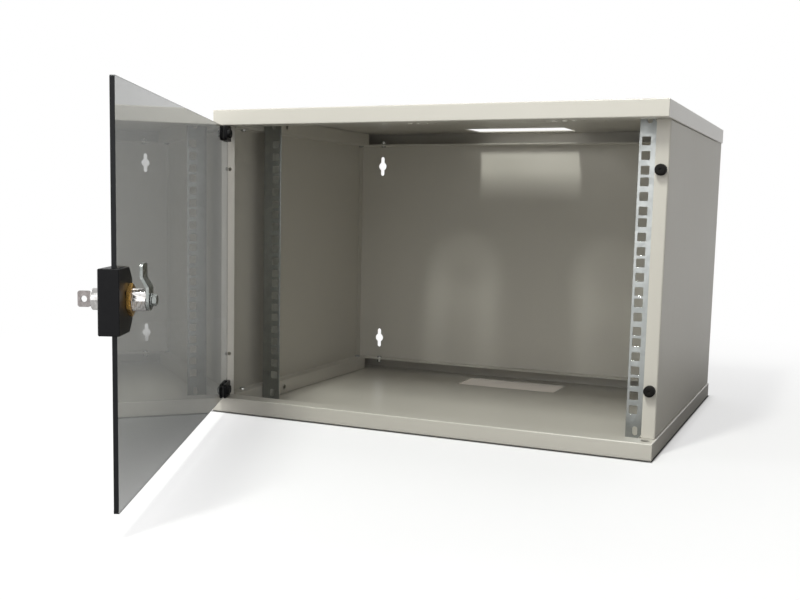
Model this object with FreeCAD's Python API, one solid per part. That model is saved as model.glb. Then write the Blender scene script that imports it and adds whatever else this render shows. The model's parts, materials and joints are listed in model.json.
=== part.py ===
import FreeCAD, Part
import math
import os

# Wall mount network cabinet, 7U, for 19 inch equipment.  Millimetres.
# +X runs to the right, +Y towards the wall, +Z up.  The origin is the centre of the underside.
# The door is modelled closed and then swung open about its pins.

TOUCH = 1e-6                    # closer than this is the same place

# ---------------------------------------------------------------- room for the equipment, which sets the cabinet's size
UNITS = 7
UNIT = 44.45
UNIT_HOLES = (6.35, 22.225, 38.1)
END_HEIGHT = 30.425             # below the lowest unit and above the highest
RAIL_OPENING = 450.0
RAIL_FACE = 26.0                # width of a rail's front
DEPTH = 447.0

# ---------------------------------------------------------------- trays (bottom pan and top cover)
TRAY_SHEET = 1.2
TRAY_RIM = 19.0                 # height of the folded walls
TRAY_BEND = 1.6                 # outer radius of the long folds
FRONT_LIP = 23.5                # folded back from the front wall
SIDE_LIP = 19.0                 # folded in from the side walls, then down as a flange
REAR_LIP = 35.5                 # folded forward from the rear wall
FLANGE_FOOT_GAP = 0.4           # the inner flange stops short of the tray floor
CORNER_RELIEF_R = 1.5
FLANGE_HOLE_R = 3.5             # spare hole in the inner flange, for a rail further back
FLANGE_HOLE_BACK = 61.0         # behind the rail's front face

# ---------------------------------------------------------------- cable entries and fan grilles
CABLE_WIDTH = 145.0
CABLE_LENGTH = 65.0
CABLE_FROM_REAR = 32.0
CABLE_CORNER_R = 2.0
FAN_SPREAD = 200.0              # between the two grille centres
FAN_FROM_FRONT = 195.0
FAN_SLOTS = 24
FAN_OUTER_R = 55.0
FAN_INNER_R = 27.0
FAN_OPEN_SHARE = 0.48           # share of the ring that is slot
FAN_HOLE_SPACING = 105.0
FAN_HOLE_R = 2.25

# ---------------------------------------------------------------- side and back panels
PANEL_SHEET = 1.0
PANEL_BEND_IN = 1.0             # inside radius of the panel folds
PANEL_INSET = 1.5               # side wall stands in from the tray's edge
STILE_SETBACK = 24.0            # front face of the stile
STILE_WIDTH = 14.5
PANEL_FLANGE = 16.5
PANEL_REAR_CLEAR = 1.0
PANEL_FOLD_STOP = 57.0          # the rounded fold ends this far from the rear
SEAM_GAP = 1.0                  # between side panel flange and back panel flange
STILE_END_GAP = 0.3
BACK_RETURN = 12.5              # depth of the back panel's folded edge
BACK_SIDE_GAP = 0.2

KEYHOLE_FROM_SIDE = 37.5
KEYHOLE_FROM_END = 51.0         # above the underside, and below the top
KEYHOLE_R = 6.25
KEYHOLE_SLOT = 5.6
KEYHOLE_REACH = 14.5            # from the round's centre to each slot end

# ---------------------------------------------------------------- panel screws (M4) and clinch nuts
SCREW_SHANK_R = 2.0
SCREW_HEAD_R = 3.8
SCREW_HEAD_H = 2.4
SCREW_DOME_SHARE = 0.7          # share of a domed head's height that is rounded
SCREW_HOLE_R = 2.2
CLINCH_R = 3.4
CLINCH_H = 4.8
FRONT_SCREW_INSET = 9.0         # from the cabinet's side
FRONT_SCREW_BACK = 56.0
REAR_SCREW_INSET = 7.4
REAR_SCREW_BEFORE_SEAM = 4.4
BACK_SCREW_INSET = 41.0
BACK_SCREW_IN = 5.9             # behind the back panel's front edge

# ---------------------------------------------------------------- rack rails
RAIL_HOLE_IN = 7.55             # holes' middle line from the rail's inner edge
RAIL_HOLE = 9.5
RAIL_SHEET = 1.5
RAIL_BEND_IN = 1.5
RAIL_SETBACK = 88.6
RAIL_SIDE = 40.0
RAIL_END_GAP = 0.8
RAIL_SLOT_W = 5.8
RAIL_SLOT_H = 10.4
RAIL_SLOT_IN = 10.5             # slots' middle line from the rail's inner edge
RAIL_SLOT_Z = 12.7
RAIL_SCREW_R = 3.0
RAIL_SCREW_HOLE_R = 3.3
RAIL_SCREW_HEAD_R = 5.6
RAIL_SCREW_HEAD_H = 3.4
RAIL_SCREW_BACK = 12.5
RAIL_SCREW_Z = 9.8
RAIL_SCREW_PROUD = 1.0          # screw end beyond its nut
RAIL_NUT_AF = 10.0
RAIL_NUT_H = 5.0
NUT_CLEAR = 0.15

# ---------------------------------------------------------------- door bumpers
BUMPER_R = 6.0
BUMPER_H = 8.0
BUMPER_EDGE = 1.6
BUMPER_STEM_R = 2.4
BUMPER_HOLE_R = 2.5
BUMPER_BARB_R = 3.4
BUMPER_BARB_H = 3.0
BUMPER_INSET = 9.1              # from the cabinet's side
BUMPER_FROM_END = 70.5          # above the underside, and below the top

# ---------------------------------------------------------------- door
PIVOT_INSET = 9.5               # pivot axis from the cabinet's side
PIVOT_SETBACK = 13.7            # pivot axis from the cabinet's front
PIVOT_HOLE_R = 4.75
DOOR_OPEN = 66.5                # degrees from closed, as stored
GLASS = 4.0
GLASS_INSET = 4.0               # glass edge from the cabinet's side
GLASS_GAP = 1.5                 # above and below the glass
GLASS_NOTCH_GAP = 0.5
GLASS_CORNER_R = 1.5

CLAMP_HEEL = 7.0                # beyond the pivot, away from the door
CLAMP_LENGTH = 38.0
CLAMP_HEIGHT = 17.0
CLAMP_HALF = 6.0                # half the thickness
CLAMP_ROOT = 3.7                # solid part in front of the pivot
CLAMP_PAD = 1.0
CLAMP_GAP = 1.3                 # clamp above the tray's lip
CLAMP_ROUND = 2.5
CLAMP_TOP_ROUND = 5.0
PAD_MARGIN = 1.0
KNOB_R = 4.9
KNOB_H = 3.5
KNOB_EDGE = 1.05
KNOB_STEM_R = 2.5
KNOB_FIRST = 12.0
KNOB_PITCH = 12.0

PIN_R = 2.5
PIN_ABOVE = 9.0
PIN_BELOW = 7.5
PIN_CHAMFER = 0.4
BUSH_R = 4.7
BUSH_FLANGE_R = 6.0
BUSH_FLANGE_H = 1.0
BUSH_DEPTH = 5.0
BUSH_BORE_R = 2.55

# ---------------------------------------------------------------- lock
LOCK_FROM_EDGE = 27.5           # lock axis from the glass edge
LOCK_DROP = 2.0                 # below the middle of the cabinet
BRACKET_HEIGHT = 51.0
BRACKET_DEPTH = 40.5            # along the glass
BRACKET_OUTER = 10.0            # thickness of the outer block
BRACKET_INNER = 2.0             # thickness of the inner plate
BRACKET_WEB = 2.0
BRACKET_PAD = 0.5
BRACKET_CHAMFER = 9.0
BRACKET_ROUND = 2.0
EDGE_CLEAR = 0.5

BARREL_R = 9.0
BARREL_FLATS = 16.0
BARREL_OUT = 14.5               # beyond the inner plate
BARREL_FLANGE_R = 11.0
BARREL_FLANGE_H = 2.0
BARREL_FLANGE_EDGE = 0.8
BARREL_HEAD_R = 8.6             # the part in front of the flange
BARREL_HEAD_H = 9.5
BARREL_HEAD_EDGE = 0.8
BARREL_BORE_R = 6.1
BARREL_HOLE_R = 9.15
GLASS_HOLE_R = 10.0
LOCK_NUT_AF = 22.5
LOCK_NUT_H = 3.5

PLUG_R = 6.0
PLUG_PROUD = 0.5
PLUG_TAIL = 7.0
PLUG_TAIL_LENGTH = 3.0
CAM_SHEET = 2.4
CAM_WIDTH = 16.0
CAM_REACH = 28.5
CAM_HEEL = 8.0
CAM_HEEL_ROUND = 7.2
CAM_JOGGLE = 4.6
CAM_FLAT = 9.5
CAM_SLOPE = 8.0
CAM_BEND_IN = 1.0
CAM_HOLE_CLEAR = 0.1
CAM_TIP_R = 3.0
CAM_SCREW_AF = 8.0
CAM_SCREW_H = 3.6
CAM_SCREW_R = 2.0
CAM_SCREW_DEPTH = 9.0
CAM_SCREW_WASHER_R = 5.5
CAM_SCREW_WASHER_H = 0.8

KEY_SHEET = 2.0
KEY_BOW_LENGTH = 10.2
KEY_BOW_HEIGHT = 12.7
KEY_BOW_ROUND = 2.0
KEY_HOLE_R = 2.5
KEY_HOLE_IN = 5.0
KEY_NECK_LENGTH = 1.0
KEY_NECK_HEIGHT = 9.0
KEY_BLADE_HEIGHT = 7.0
KEY_BLADE_LENGTH = 24.0
KEY_TIP = 2.0                   # pointed end, and the plain part next to the neck
KEY_CUTS = (1.6, 2.4, 1.2, 2.0, 1.4)
KEY_SLOT_CLEAR = 0.1

# ---------------------------------------------------------------- worked out from the above
WIDTH = RAIL_OPENING + 2 * (RAIL_FACE + SIDE_LIP)
HEIGHT = UNITS * UNIT + 2 * END_HEIGHT
FRONT = -DEPTH / 2
REAR = DEPTH / 2
SIDE = WIDTH / 2
LOWER_LIP = TRAY_RIM
UPPER_LIP = HEIGHT - TRAY_RIM
CHANNEL = SIDE - SIDE_LIP                      # face of the tray's inner flange
WALL_OUT = SIDE - PANEL_INSET
WALL_IN = WALL_OUT - PANEL_SHEET
STILE_FRONT = FRONT + STILE_SETBACK
LIP_END = REAR - REAR_LIP                      # front edge of the rear lips
BACK_FRONT = LIP_END + SEAM_GAP                # front edge of the back panel's folds
BACK_FACE = BACK_FRONT + BACK_RETURN - PANEL_SHEET
RAIL_FRONT = FRONT + RAIL_SETBACK
RAIL_EDGE = RAIL_OPENING / 2                   # inner edge of the right rail
RAIL_SCREW_Y = RAIL_FRONT + RAIL_SCREW_BACK
FAN_Y = FRONT + FAN_FROM_FRONT
CABLE_REAR = REAR - CABLE_FROM_REAR
CABLE_FRONT = CABLE_REAR - CABLE_LENGTH

PIVOT_X = -(SIDE - PIVOT_INSET)
PIVOT_Y = FRONT + PIVOT_SETBACK
GLASS_LOW = LOWER_LIP + GLASS_GAP
GLASS_HIGH = UPPER_LIP - GLASS_GAP
GLASS_FREE = SIDE - GLASS_INSET
GLASS_HINGE = -(SIDE - GLASS_INSET)
GLASS_FACE_OUT = PIVOT_Y - GLASS / 2
GLASS_FACE_IN = PIVOT_Y + GLASS / 2
CLAMP_LOW = LOWER_LIP + CLAMP_GAP
CLAMP_TOP = CLAMP_LOW + CLAMP_HEIGHT

LOCK_X = GLASS_FREE - LOCK_FROM_EDGE
LOCK_Z = HEIGHT / 2 - LOCK_DROP
BRACKET_OUT = GLASS_FACE_OUT - BRACKET_PAD - BRACKET_OUTER
BRACKET_IN = GLASS_FACE_IN + BRACKET_PAD + BRACKET_INNER
BRACKET_END = GLASS_FREE + EDGE_CLEAR + BRACKET_WEB
FLANGE_FACE = BRACKET_OUT - BARREL_FLANGE_H
BARREL_FACE = FLANGE_FACE - BARREL_HEAD_H
BARREL_END = BRACKET_IN + BARREL_OUT


def box(x0, x1, y0, y1, z0, z1):
    """Block between two corners."""
    return Part.makeBox(x1 - x0, y1 - y0, z1 - z0, FreeCAD.Vector(x0, y0, z0))


def rod(radius, start, direction, length):
    """Cylinder of a radius from a start point along a direction."""
    return Part.makeCylinder(radius, length, FreeCAD.Vector(*start), FreeCAD.Vector(*direction))


def mirrored(shape, axis):
    """Copy of a shape mirrored across the middle plane of the cabinet, left to right or top to bottom."""
    if axis == "x":
        return shape.mirror(FreeCAD.Vector(0, 0, 0), FreeCAD.Vector(1, 0, 0))
    return shape.mirror(FreeCAD.Vector(0, 0, HEIGHT / 2), FreeCAD.Vector(0, 0, 1))


def both_sides(shape):
    """The shape and its mirror image across X = 0, as one list."""
    return [shape, mirrored(shape, "x")]


def to_plane(plane, a, b, level):
    """Point (a, b) of a drawing plane named by its two axes, at a level on the third axis."""
    if plane == "xy":
        return FreeCAD.Vector(a, b, level)
    if plane == "xz":
        return FreeCAD.Vector(a, level, b)
    return FreeCAD.Vector(level, a, b)


def rounded_line(points, radii):
    """Split a bent line into straight and arc pieces, each corner rounded by its own radius."""
    pieces = []
    here = points[0]
    for i in range(1, len(points) - 1):
        before, corner, after = points[i - 1], points[i], points[i + 1]
        ux, uy = corner[0] - before[0], corner[1] - before[1]
        vx, vy = after[0] - corner[0], after[1] - corner[1]
        u_len, v_len = math.hypot(ux, uy), math.hypot(vx, vy)
        ux, uy, vx, vy = ux / u_len, uy / u_len, vx / v_len, vy / v_len
        turn = math.acos(max(-1.0, min(1.0, ux * vx + uy * vy)))
        reach = radii[i] * math.tan(turn / 2)
        enter = (corner[0] - ux * reach, corner[1] - uy * reach)
        leave = (corner[0] + vx * reach, corner[1] + vy * reach)
        bx, by = vx - ux, vy - uy
        b_len = math.hypot(bx, by)
        rise = radii[i] / math.cos(turn / 2) - radii[i]
        middle = (corner[0] + bx / b_len * rise, corner[1] + by / b_len * rise)
        pieces.append(("line", here, enter))
        pieces.append(("arc", enter, middle, leave))
        here = leave
    pieces.append(("line", here, points[-1]))
    return pieces


def offset_line(points, distance):
    """The bent line moved sideways, to its left where the distance is positive."""
    normals = []
    for (ax, ay), (bx, by) in zip(points, points[1:]):
        length = math.hypot(bx - ax, by - ay)
        normals.append((-(by - ay) / length, (bx - ax) / length))
    moved = [(points[0][0] + normals[0][0] * distance, points[0][1] + normals[0][1] * distance)]
    for i in range(1, len(points) - 1):
        (n0x, n0y), (n1x, n1y) = normals[i - 1], normals[i]
        share = distance / (1 + n0x * n1x + n0y * n1y)
        moved.append((points[i][0] + (n0x + n1x) * share, points[i][1] + (n0y + n1y) * share))
    last = normals[-1]
    moved.append((points[-1][0] + last[0] * distance, points[-1][1] + last[1] * distance))
    return moved


def bent_sheet(points, thickness, bend_in, plane, low, high):
    """Folded sheet: one face follows the points, the other lies to their left, and it runs low to high."""
    face_radii, far_radii = [0.0], [0.0]
    for (ax, ay), (bx, by), (cx, cy) in zip(points, points[1:], points[2:]):
        turns_left = (bx - ax) * (cy - by) - (by - ay) * (cx - bx) > 0
        face_radii.append(bend_in + thickness if turns_left else bend_in)
        far_radii.append(bend_in if turns_left else bend_in + thickness)
    face_radii.append(0.0)
    far_radii.append(0.0)
    face = rounded_line(points, face_radii)
    far = rounded_line(offset_line(points, thickness), far_radii)
    edges = []
    for piece in face + far:
        ends = [to_plane(plane, p[0], p[1], low) for p in piece[1:]]
        if piece[0] == "arc":
            edges.append(Part.Arc(*ends).toShape())
        elif ends[0].distanceToPoint(ends[1]) > TOUCH:
            edges.append(Part.makeLine(*ends))
    for one, two in ((face[0][1], far[0][1]), (face[-1][-1], far[-1][-1])):
        edges.append(Part.makeLine(to_plane(plane, *one, low), to_plane(plane, *two, low)))
    outline = Part.Wire(Part.__sortEdges__(edges))
    return Part.Face(outline).extrude(to_plane(plane, 0, 0, high - low))


def prism(points, plane, low, high):
    """Straight prism over a closed polygon."""
    corners = [to_plane(plane, a, b, low) for a, b in points]
    outline = Part.makePolygon(corners + corners[:1])
    return Part.Face(outline).extrude(to_plane(plane, 0, 0, high - low))


def hexagon(across_flats, start, direction, length):
    """Hexagonal prism about an axis along Y or X, flat side up."""
    radius = across_flats / math.sqrt(3)
    ring = [(radius * math.cos(math.radians(60 * k)), radius * math.sin(math.radians(60 * k))) for k in range(6)]
    x, y, z = start
    if direction == "y":
        return prism([(x + a, z + b) for a, b in ring], "xz", y, y + length)
    return prism([(y + a, z + b) for a, b in ring], "yz", x, x + length)


def rim_at(shape, axis, level):
    """Edges of a shape whose middle lies at a level on an axis."""
    return [edge for edge in shape.Edges if abs(getattr(edge.CenterOfMass, axis) - level) < TOUCH]


def edges_along(shape, axis, test):
    """Straight edges of a shape that run along an axis and whose middle passes a test."""
    found = []
    for edge in shape.Edges:
        if len(edge.Vertexes) != 2:
            continue
        run = edge.Vertexes[1].Point - edge.Vertexes[0].Point
        along = {"x": abs(run.x), "y": abs(run.y), "z": abs(run.z)}
        if along[axis] > 0.999 * run.Length and test(edge.CenterOfMass):
            found.append(edge)
    return found


def pan_screw(shank_r, head_r, head_h, length):
    """Domed screw about +Z, its head standing on Z = 0 and its shank reaching down."""
    head = rod(head_r, (0, 0, 0), (0, 0, 1), head_h)
    head = head.makeFillet(SCREW_DOME_SHARE * head_h, rim_at(head, "z", head_h))
    return head.fuse(rod(shank_r, (0, 0, -length), (0, 0, 1), length)).removeSplitter()


# ---------------------------------------------------------------- shell

def panel_screw_places():
    """Where the panels are screwed to each tray, as (x, y)."""
    front = (SIDE - FRONT_SCREW_INSET, FRONT + FRONT_SCREW_BACK)
    rear = (SIDE - REAR_SCREW_INSET, BACK_FRONT - SEAM_GAP / 2 - REAR_SCREW_BEFORE_SEAM)
    back = (SIDE - BACK_SCREW_INSET, BACK_FRONT + BACK_SCREW_IN)
    return [(side * x, y) for x, y in (front, rear, back) for side in (-1, 1)]


def tray():
    """Folded tray with its floor down: walls, lips, inner flanges, holes and the cable entry."""
    body = box(-SIDE, SIDE, FRONT, REAR, 0, TRAY_RIM)
    folds = edges_along(body, "x", lambda c: True) + edges_along(body, "y", lambda c: True)
    body = body.makeFillet(TRAY_BEND, folds)
    body = body.cut(box(-SIDE + TRAY_SHEET, SIDE - TRAY_SHEET, FRONT + TRAY_SHEET, REAR - TRAY_SHEET,
                        TRAY_SHEET, TRAY_RIM - TRAY_SHEET))
    mouth_front, mouth_rear = FRONT + FRONT_LIP, LIP_END
    body = body.cut(box(-CHANNEL, CHANNEL, mouth_front, mouth_rear, TRAY_SHEET, TRAY_RIM + 1))
    flange = box(CHANNEL, CHANNEL + TRAY_SHEET, mouth_front, mouth_rear, TRAY_SHEET + FLANGE_FOOT_GAP, TRAY_RIM)
    body = body.fuse(both_sides(flange)).removeSplitter()

    cuts = []
    for x, y in panel_screw_places():
        cuts.append(rod(SCREW_HOLE_R, (x, y, TRAY_RIM - 2 * TRAY_SHEET), (0, 0, 1), 3 * TRAY_SHEET))
    for x in (-1, 1):
        cuts.append(rod(PIVOT_HOLE_R, (x * PIVOT_X, PIVOT_Y, TRAY_RIM - 2 * TRAY_SHEET), (0, 0, 1),
                        3 * TRAY_SHEET))
        cuts.append(rod(CORNER_RELIEF_R, (x * CHANNEL, mouth_front, TRAY_RIM - 2 * TRAY_SHEET), (0, 0, 1),
                        3 * TRAY_SHEET))
    across = 2 * (CHANNEL + 2 * TRAY_SHEET)
    for y, radius in ((RAIL_SCREW_Y, RAIL_SCREW_HOLE_R), (RAIL_FRONT + FLANGE_HOLE_BACK, FLANGE_HOLE_R)):
        cuts.append(rod(radius, (-across / 2, y, RAIL_SCREW_Z), (1, 0, 0), across))
    entry = box(-CABLE_WIDTH / 2, CABLE_WIDTH / 2, CABLE_FRONT, CABLE_REAR, -TRAY_SHEET, 2 * TRAY_SHEET)
    cuts.append(entry.makeFillet(CABLE_CORNER_R, edges_along(entry, "z", lambda c: True)))
    for cut in cuts:
        body = body.cut(cut)
    return body


def bottom_pan():
    """The lower tray, as folded."""
    return tray()


def fan_grille(centre_x):
    """Cutting tools for one fan: a ring of wedge slots and the four fan screw holes."""
    tools = []
    low, high = HEIGHT - 2 * TRAY_SHEET, HEIGHT + TRAY_SHEET
    half = math.pi / FAN_SLOTS * FAN_OPEN_SHARE
    for k in range(FAN_SLOTS):
        middle = 2 * math.pi * k / FAN_SLOTS
        corners = [(FAN_INNER_R, -half), (FAN_OUTER_R, -half), (FAN_OUTER_R, half), (FAN_INNER_R, half)]
        tools.append(prism([(centre_x + r * math.sin(middle + a), FAN_Y + r * math.cos(middle + a))
                            for r, a in corners], "xy", low, high))
    for sx in (-1, 1):
        for sy in (-1, 1):
            spot = (centre_x + sx * FAN_HOLE_SPACING / 2, FAN_Y + sy * FAN_HOLE_SPACING / 2, low)
            tools.append(rod(FAN_HOLE_R, spot, (0, 0, 1), high - low))
    return tools


def top_cover():
    """The upper tray, turned over, with two fan grilles stamped through it."""
    cover = mirrored(tray(), "z")
    tools = fan_grille(-FAN_SPREAD / 2) + fan_grille(FAN_SPREAD / 2)
    return cover.cut(Part.makeCompound(tools))


def right_side_panel():
    """Side sheet folded into a front stile and two flanges that lie on the tray lips."""
    flange_in = WALL_OUT - PANEL_FLANGE
    fold_end = REAR - PANEL_FOLD_STOP
    wall_rear = REAR - PANEL_REAR_CLEAR
    flange_rear = BACK_FRONT - SEAM_GAP
    section = [(flange_in, LOWER_LIP), (WALL_OUT, LOWER_LIP), (WALL_OUT, UPPER_LIP), (flange_in, UPPER_LIP)]
    folded = bent_sheet(section, PANEL_SHEET, PANEL_BEND_IN, "xz", STILE_FRONT + PANEL_SHEET, fold_end)
    panel = folded.fuse(box(WALL_IN, WALL_OUT, fold_end, wall_rear, LOWER_LIP, UPPER_LIP))
    for z in (LOWER_LIP, UPPER_LIP - PANEL_SHEET):
        panel = panel.fuse(box(flange_in, WALL_IN, fold_end, flange_rear, z, z + PANEL_SHEET))
    corner = [(WALL_OUT - STILE_WIDTH, STILE_FRONT), (WALL_OUT, STILE_FRONT),
              (WALL_OUT, STILE_FRONT + 2 * (PANEL_SHEET + PANEL_BEND_IN))]
    stile = bent_sheet(corner, PANEL_SHEET, PANEL_BEND_IN, "xy", LOWER_LIP + STILE_END_GAP,
                       UPPER_LIP - STILE_END_GAP)
    square = box(WALL_OUT - PANEL_SHEET - PANEL_BEND_IN, WALL_OUT, STILE_FRONT, STILE_FRONT + 2 * PANEL_SHEET,
                 LOWER_LIP, UPPER_LIP)
    panel = panel.cut(square).fuse(stile).removeSplitter()
    for x, y in panel_screw_places():
        if x > flange_in:
            panel = panel.cut(rod(SCREW_HOLE_R, (x, y, 0), (0, 0, 1), HEIGHT))
    for z in bumper_heights():
        panel = panel.cut(rod(BUMPER_HOLE_R, (SIDE - BUMPER_INSET, STILE_FRONT - 1, z), (0, 1, 0),
                              PANEL_SHEET + 2))
    return panel


def left_side_panel():
    """Mirror image of the right side panel."""
    return mirrored(right_side_panel(), "x")


def keyhole(x, z):
    """Cutting tool for one wall keyhole: a round with a narrow slot above and below it."""
    low, high = BACK_FACE - PANEL_SHEET, BACK_FACE + 2 * PANEL_SHEET
    tool = rod(KEYHOLE_R, (x, low, z), (0, 1, 0), high - low)
    reach = KEYHOLE_REACH - KEYHOLE_SLOT / 2
    tool = tool.fuse(box(x - KEYHOLE_SLOT / 2, x + KEYHOLE_SLOT / 2, low, high, z - reach, z + reach))
    for end in (-reach, reach):
        tool = tool.fuse(rod(KEYHOLE_SLOT / 2, (x, low, z + end), (0, 1, 0), high - low))
    return tool


def back_panel():
    """Back sheet with folded edges that point forward, screwed to the rear lips."""
    half = WALL_IN - BACK_SIDE_GAP
    rear = BACK_FACE + PANEL_SHEET
    body = box(-half, half, BACK_FRONT, rear, LOWER_LIP, UPPER_LIP)
    folds = edges_along(body, "x", lambda c: c.y > BACK_FACE) + edges_along(body, "z", lambda c: c.y > BACK_FACE)
    body = body.makeFillet(PANEL_SHEET + PANEL_BEND_IN, folds)
    inside = box(-half + PANEL_SHEET, half - PANEL_SHEET, BACK_FRONT - 1, BACK_FACE,
                 LOWER_LIP + PANEL_SHEET, UPPER_LIP - PANEL_SHEET)
    folds = edges_along(inside, "x", lambda c: c.y > BACK_FRONT) + edges_along(inside, "z",
                                                                              lambda c: c.y > BACK_FRONT)
    body = body.cut(inside.makeFillet(PANEL_BEND_IN, folds))
    for x in (KEYHOLE_FROM_SIDE - SIDE, SIDE - KEYHOLE_FROM_SIDE):
        for z in (KEYHOLE_FROM_END, HEIGHT - KEYHOLE_FROM_END):
            body = body.cut(keyhole(x, z))
    for x, y in panel_screw_places():
        if y > BACK_FRONT:
            body = body.cut(rod(SCREW_HOLE_R, (x, y, 0), (0, 0, 1), HEIGHT))
    return body


def pan_screws():
    """Six screws that hold the panels to the lower tray."""
    reach = PANEL_SHEET + TRAY_SHEET + CLINCH_H
    screw = pan_screw(SCREW_SHANK_R, SCREW_HEAD_R, SCREW_HEAD_H, reach)
    return [screw.translated(FreeCAD.Vector(x, y, LOWER_LIP + PANEL_SHEET)) for x, y in panel_screw_places()]


def pan_nuts():
    """Clinch nuts under the lips of the lower tray, one for each screw."""
    nuts = []
    top = LOWER_LIP - TRAY_SHEET
    for x, y in panel_screw_places():
        nut = rod(CLINCH_R, (x, y, top - CLINCH_H), (0, 0, 1), CLINCH_H)
        nuts.append(nut.cut(rod(SCREW_HOLE_R, (x, y, top - 2 * CLINCH_H), (0, 0, 1), 3 * CLINCH_H)))
    return nuts


def cover_screws():
    """The same six screws in the upper tray."""
    return [mirrored(screw, "z") for screw in pan_screws()]


def cover_nuts():
    """The same clinch nuts in the upper tray."""
    return [mirrored(nut, "z") for nut in pan_nuts()]


# ---------------------------------------------------------------- rails

def right_rack_rail():
    """L rail with square holes in every unit and an oblong slot at each end."""
    section = [(RAIL_EDGE, RAIL_FRONT), (CHANNEL, RAIL_FRONT), (CHANNEL, RAIL_FRONT + RAIL_SIDE)]
    low, high = TRAY_SHEET + RAIL_END_GAP, HEIGHT - TRAY_SHEET - RAIL_END_GAP
    rail = bent_sheet(section, RAIL_SHEET, RAIL_BEND_IN, "xy", low, high)
    front, rear = RAIL_FRONT - 1, RAIL_FRONT + RAIL_SHEET + 1
    cuts = []
    for unit in range(UNITS):
        for step in UNIT_HOLES:
            x, z = RAIL_EDGE + RAIL_HOLE_IN, END_HEIGHT + unit * UNIT + step
            half = RAIL_HOLE / 2
            cuts.append(box(x - half, x + half, front, rear, z - half, z + half))
    reach = (RAIL_SLOT_H - RAIL_SLOT_W) / 2
    x = RAIL_EDGE + RAIL_SLOT_IN
    for z in (RAIL_SLOT_Z, HEIGHT - RAIL_SLOT_Z):
        slot = box(x - RAIL_SLOT_W / 2, x + RAIL_SLOT_W / 2, front, rear, z - reach, z + reach)
        for end in (-reach, reach):
            slot = slot.fuse(rod(RAIL_SLOT_W / 2, (x, front, z + end), (0, 1, 0), rear - front))
        cuts.append(slot)
    for z in (RAIL_SCREW_Z, HEIGHT - RAIL_SCREW_Z):
        cuts.append(rod(RAIL_SCREW_HOLE_R, (CHANNEL - 2 * RAIL_SHEET, RAIL_SCREW_Y, z), (1, 0, 0), 3 * RAIL_SHEET))
    return rail.cut(Part.makeCompound(cuts))


def left_rack_rail():
    """Mirror image of the right rail."""
    return mirrored(right_rack_rail(), "x")


def rail_screws():
    """Four M6 screws through the rails' side flanges, heads inside the cabinet."""
    reach = RAIL_SHEET + TRAY_SHEET + RAIL_NUT_H + RAIL_SCREW_PROUD
    screw = pan_screw(RAIL_SCREW_R, RAIL_SCREW_HEAD_R, RAIL_SCREW_HEAD_H, reach)
    screw.rotate(FreeCAD.Vector(0, 0, 0), FreeCAD.Vector(0, 1, 0), -90)
    right = [screw.translated(FreeCAD.Vector(CHANNEL - RAIL_SHEET, RAIL_SCREW_Y, z))
             for z in (RAIL_SCREW_Z, HEIGHT - RAIL_SCREW_Z)]
    return right + [mirrored(one, "x") for one in right]


def rail_nuts():
    """Hexagon nuts of the rail screws, inside the tray's side channels."""
    start = CHANNEL + TRAY_SHEET
    right = []
    for z in (RAIL_SCREW_Z, HEIGHT - RAIL_SCREW_Z):
        nut = hexagon(RAIL_NUT_AF, (start, RAIL_SCREW_Y, z), "x", RAIL_NUT_H)
        right.append(nut.cut(rod(RAIL_SCREW_R + NUT_CLEAR, (start - 1, RAIL_SCREW_Y, z), (1, 0, 0),
                                 RAIL_NUT_H + 2)))
    return right + [mirrored(one, "x") for one in right]


# ---------------------------------------------------------------- bumpers

def bumper_heights():
    """Heights of the two bumpers' centres."""
    return [BUMPER_FROM_END, HEIGHT - BUMPER_FROM_END]


def bumper(z):
    """Round rubber stop on the right stile, with a barbed stem through it."""
    x = SIDE - BUMPER_INSET
    head = rod(BUMPER_R, (x, STILE_FRONT - BUMPER_H, z), (0, 1, 0), BUMPER_H)
    head = head.makeFillet(BUMPER_EDGE, rim_at(head, "y", STILE_FRONT - BUMPER_H))
    head = head.fuse(rod(BUMPER_STEM_R, (x, STILE_FRONT, z), (0, 1, 0), PANEL_SHEET + BUMPER_BARB_H))
    barb = Part.makeCone(BUMPER_BARB_R, BUMPER_STEM_R / 2, BUMPER_BARB_H,
                         FreeCAD.Vector(x, STILE_FRONT + PANEL_SHEET, z), FreeCAD.Vector(0, 1, 0))
    return head.fuse(barb).removeSplitter()


def lower_bumper():
    """Lower door stop."""
    return bumper(bumper_heights()[0])


def upper_bumper():
    """Upper door stop."""
    return bumper(bumper_heights()[1])


# ---------------------------------------------------------------- hinges

def lower_pivot_bush():
    """Flanged bush in the lower lip, for the door's lower pin."""
    bush = rod(BUSH_R, (PIVOT_X, PIVOT_Y, LOWER_LIP - BUSH_DEPTH), (0, 0, 1), BUSH_DEPTH)
    bush = bush.fuse(rod(BUSH_FLANGE_R, (PIVOT_X, PIVOT_Y, LOWER_LIP), (0, 0, 1), BUSH_FLANGE_H))
    return bush.cut(rod(BUSH_BORE_R, (PIVOT_X, PIVOT_Y, 0), (0, 0, 1), TRAY_RIM + 2 * BUSH_FLANGE_H))


def upper_pivot_bush():
    """The same bush in the upper lip."""
    return mirrored(lower_pivot_bush(), "z")


def lower_hinge_pin():
    """Door pin, held by the clamp's heel and running in the bush."""
    pin = rod(PIN_R, (PIVOT_X, PIVOT_Y, CLAMP_LOW - PIN_BELOW), (0, 0, 1), PIN_BELOW + PIN_ABOVE)
    ends = [e for e in pin.Edges if len(e.Vertexes) == 1]
    return pin.makeChamfer(PIN_CHAMFER, ends)


def upper_hinge_pin():
    """The same pin at the top."""
    return mirrored(lower_hinge_pin(), "z")


def knob_places():
    """X of the clamp's knob screws."""
    return [PIVOT_X + KNOB_FIRST, PIVOT_X + KNOB_FIRST + KNOB_PITCH]


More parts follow.
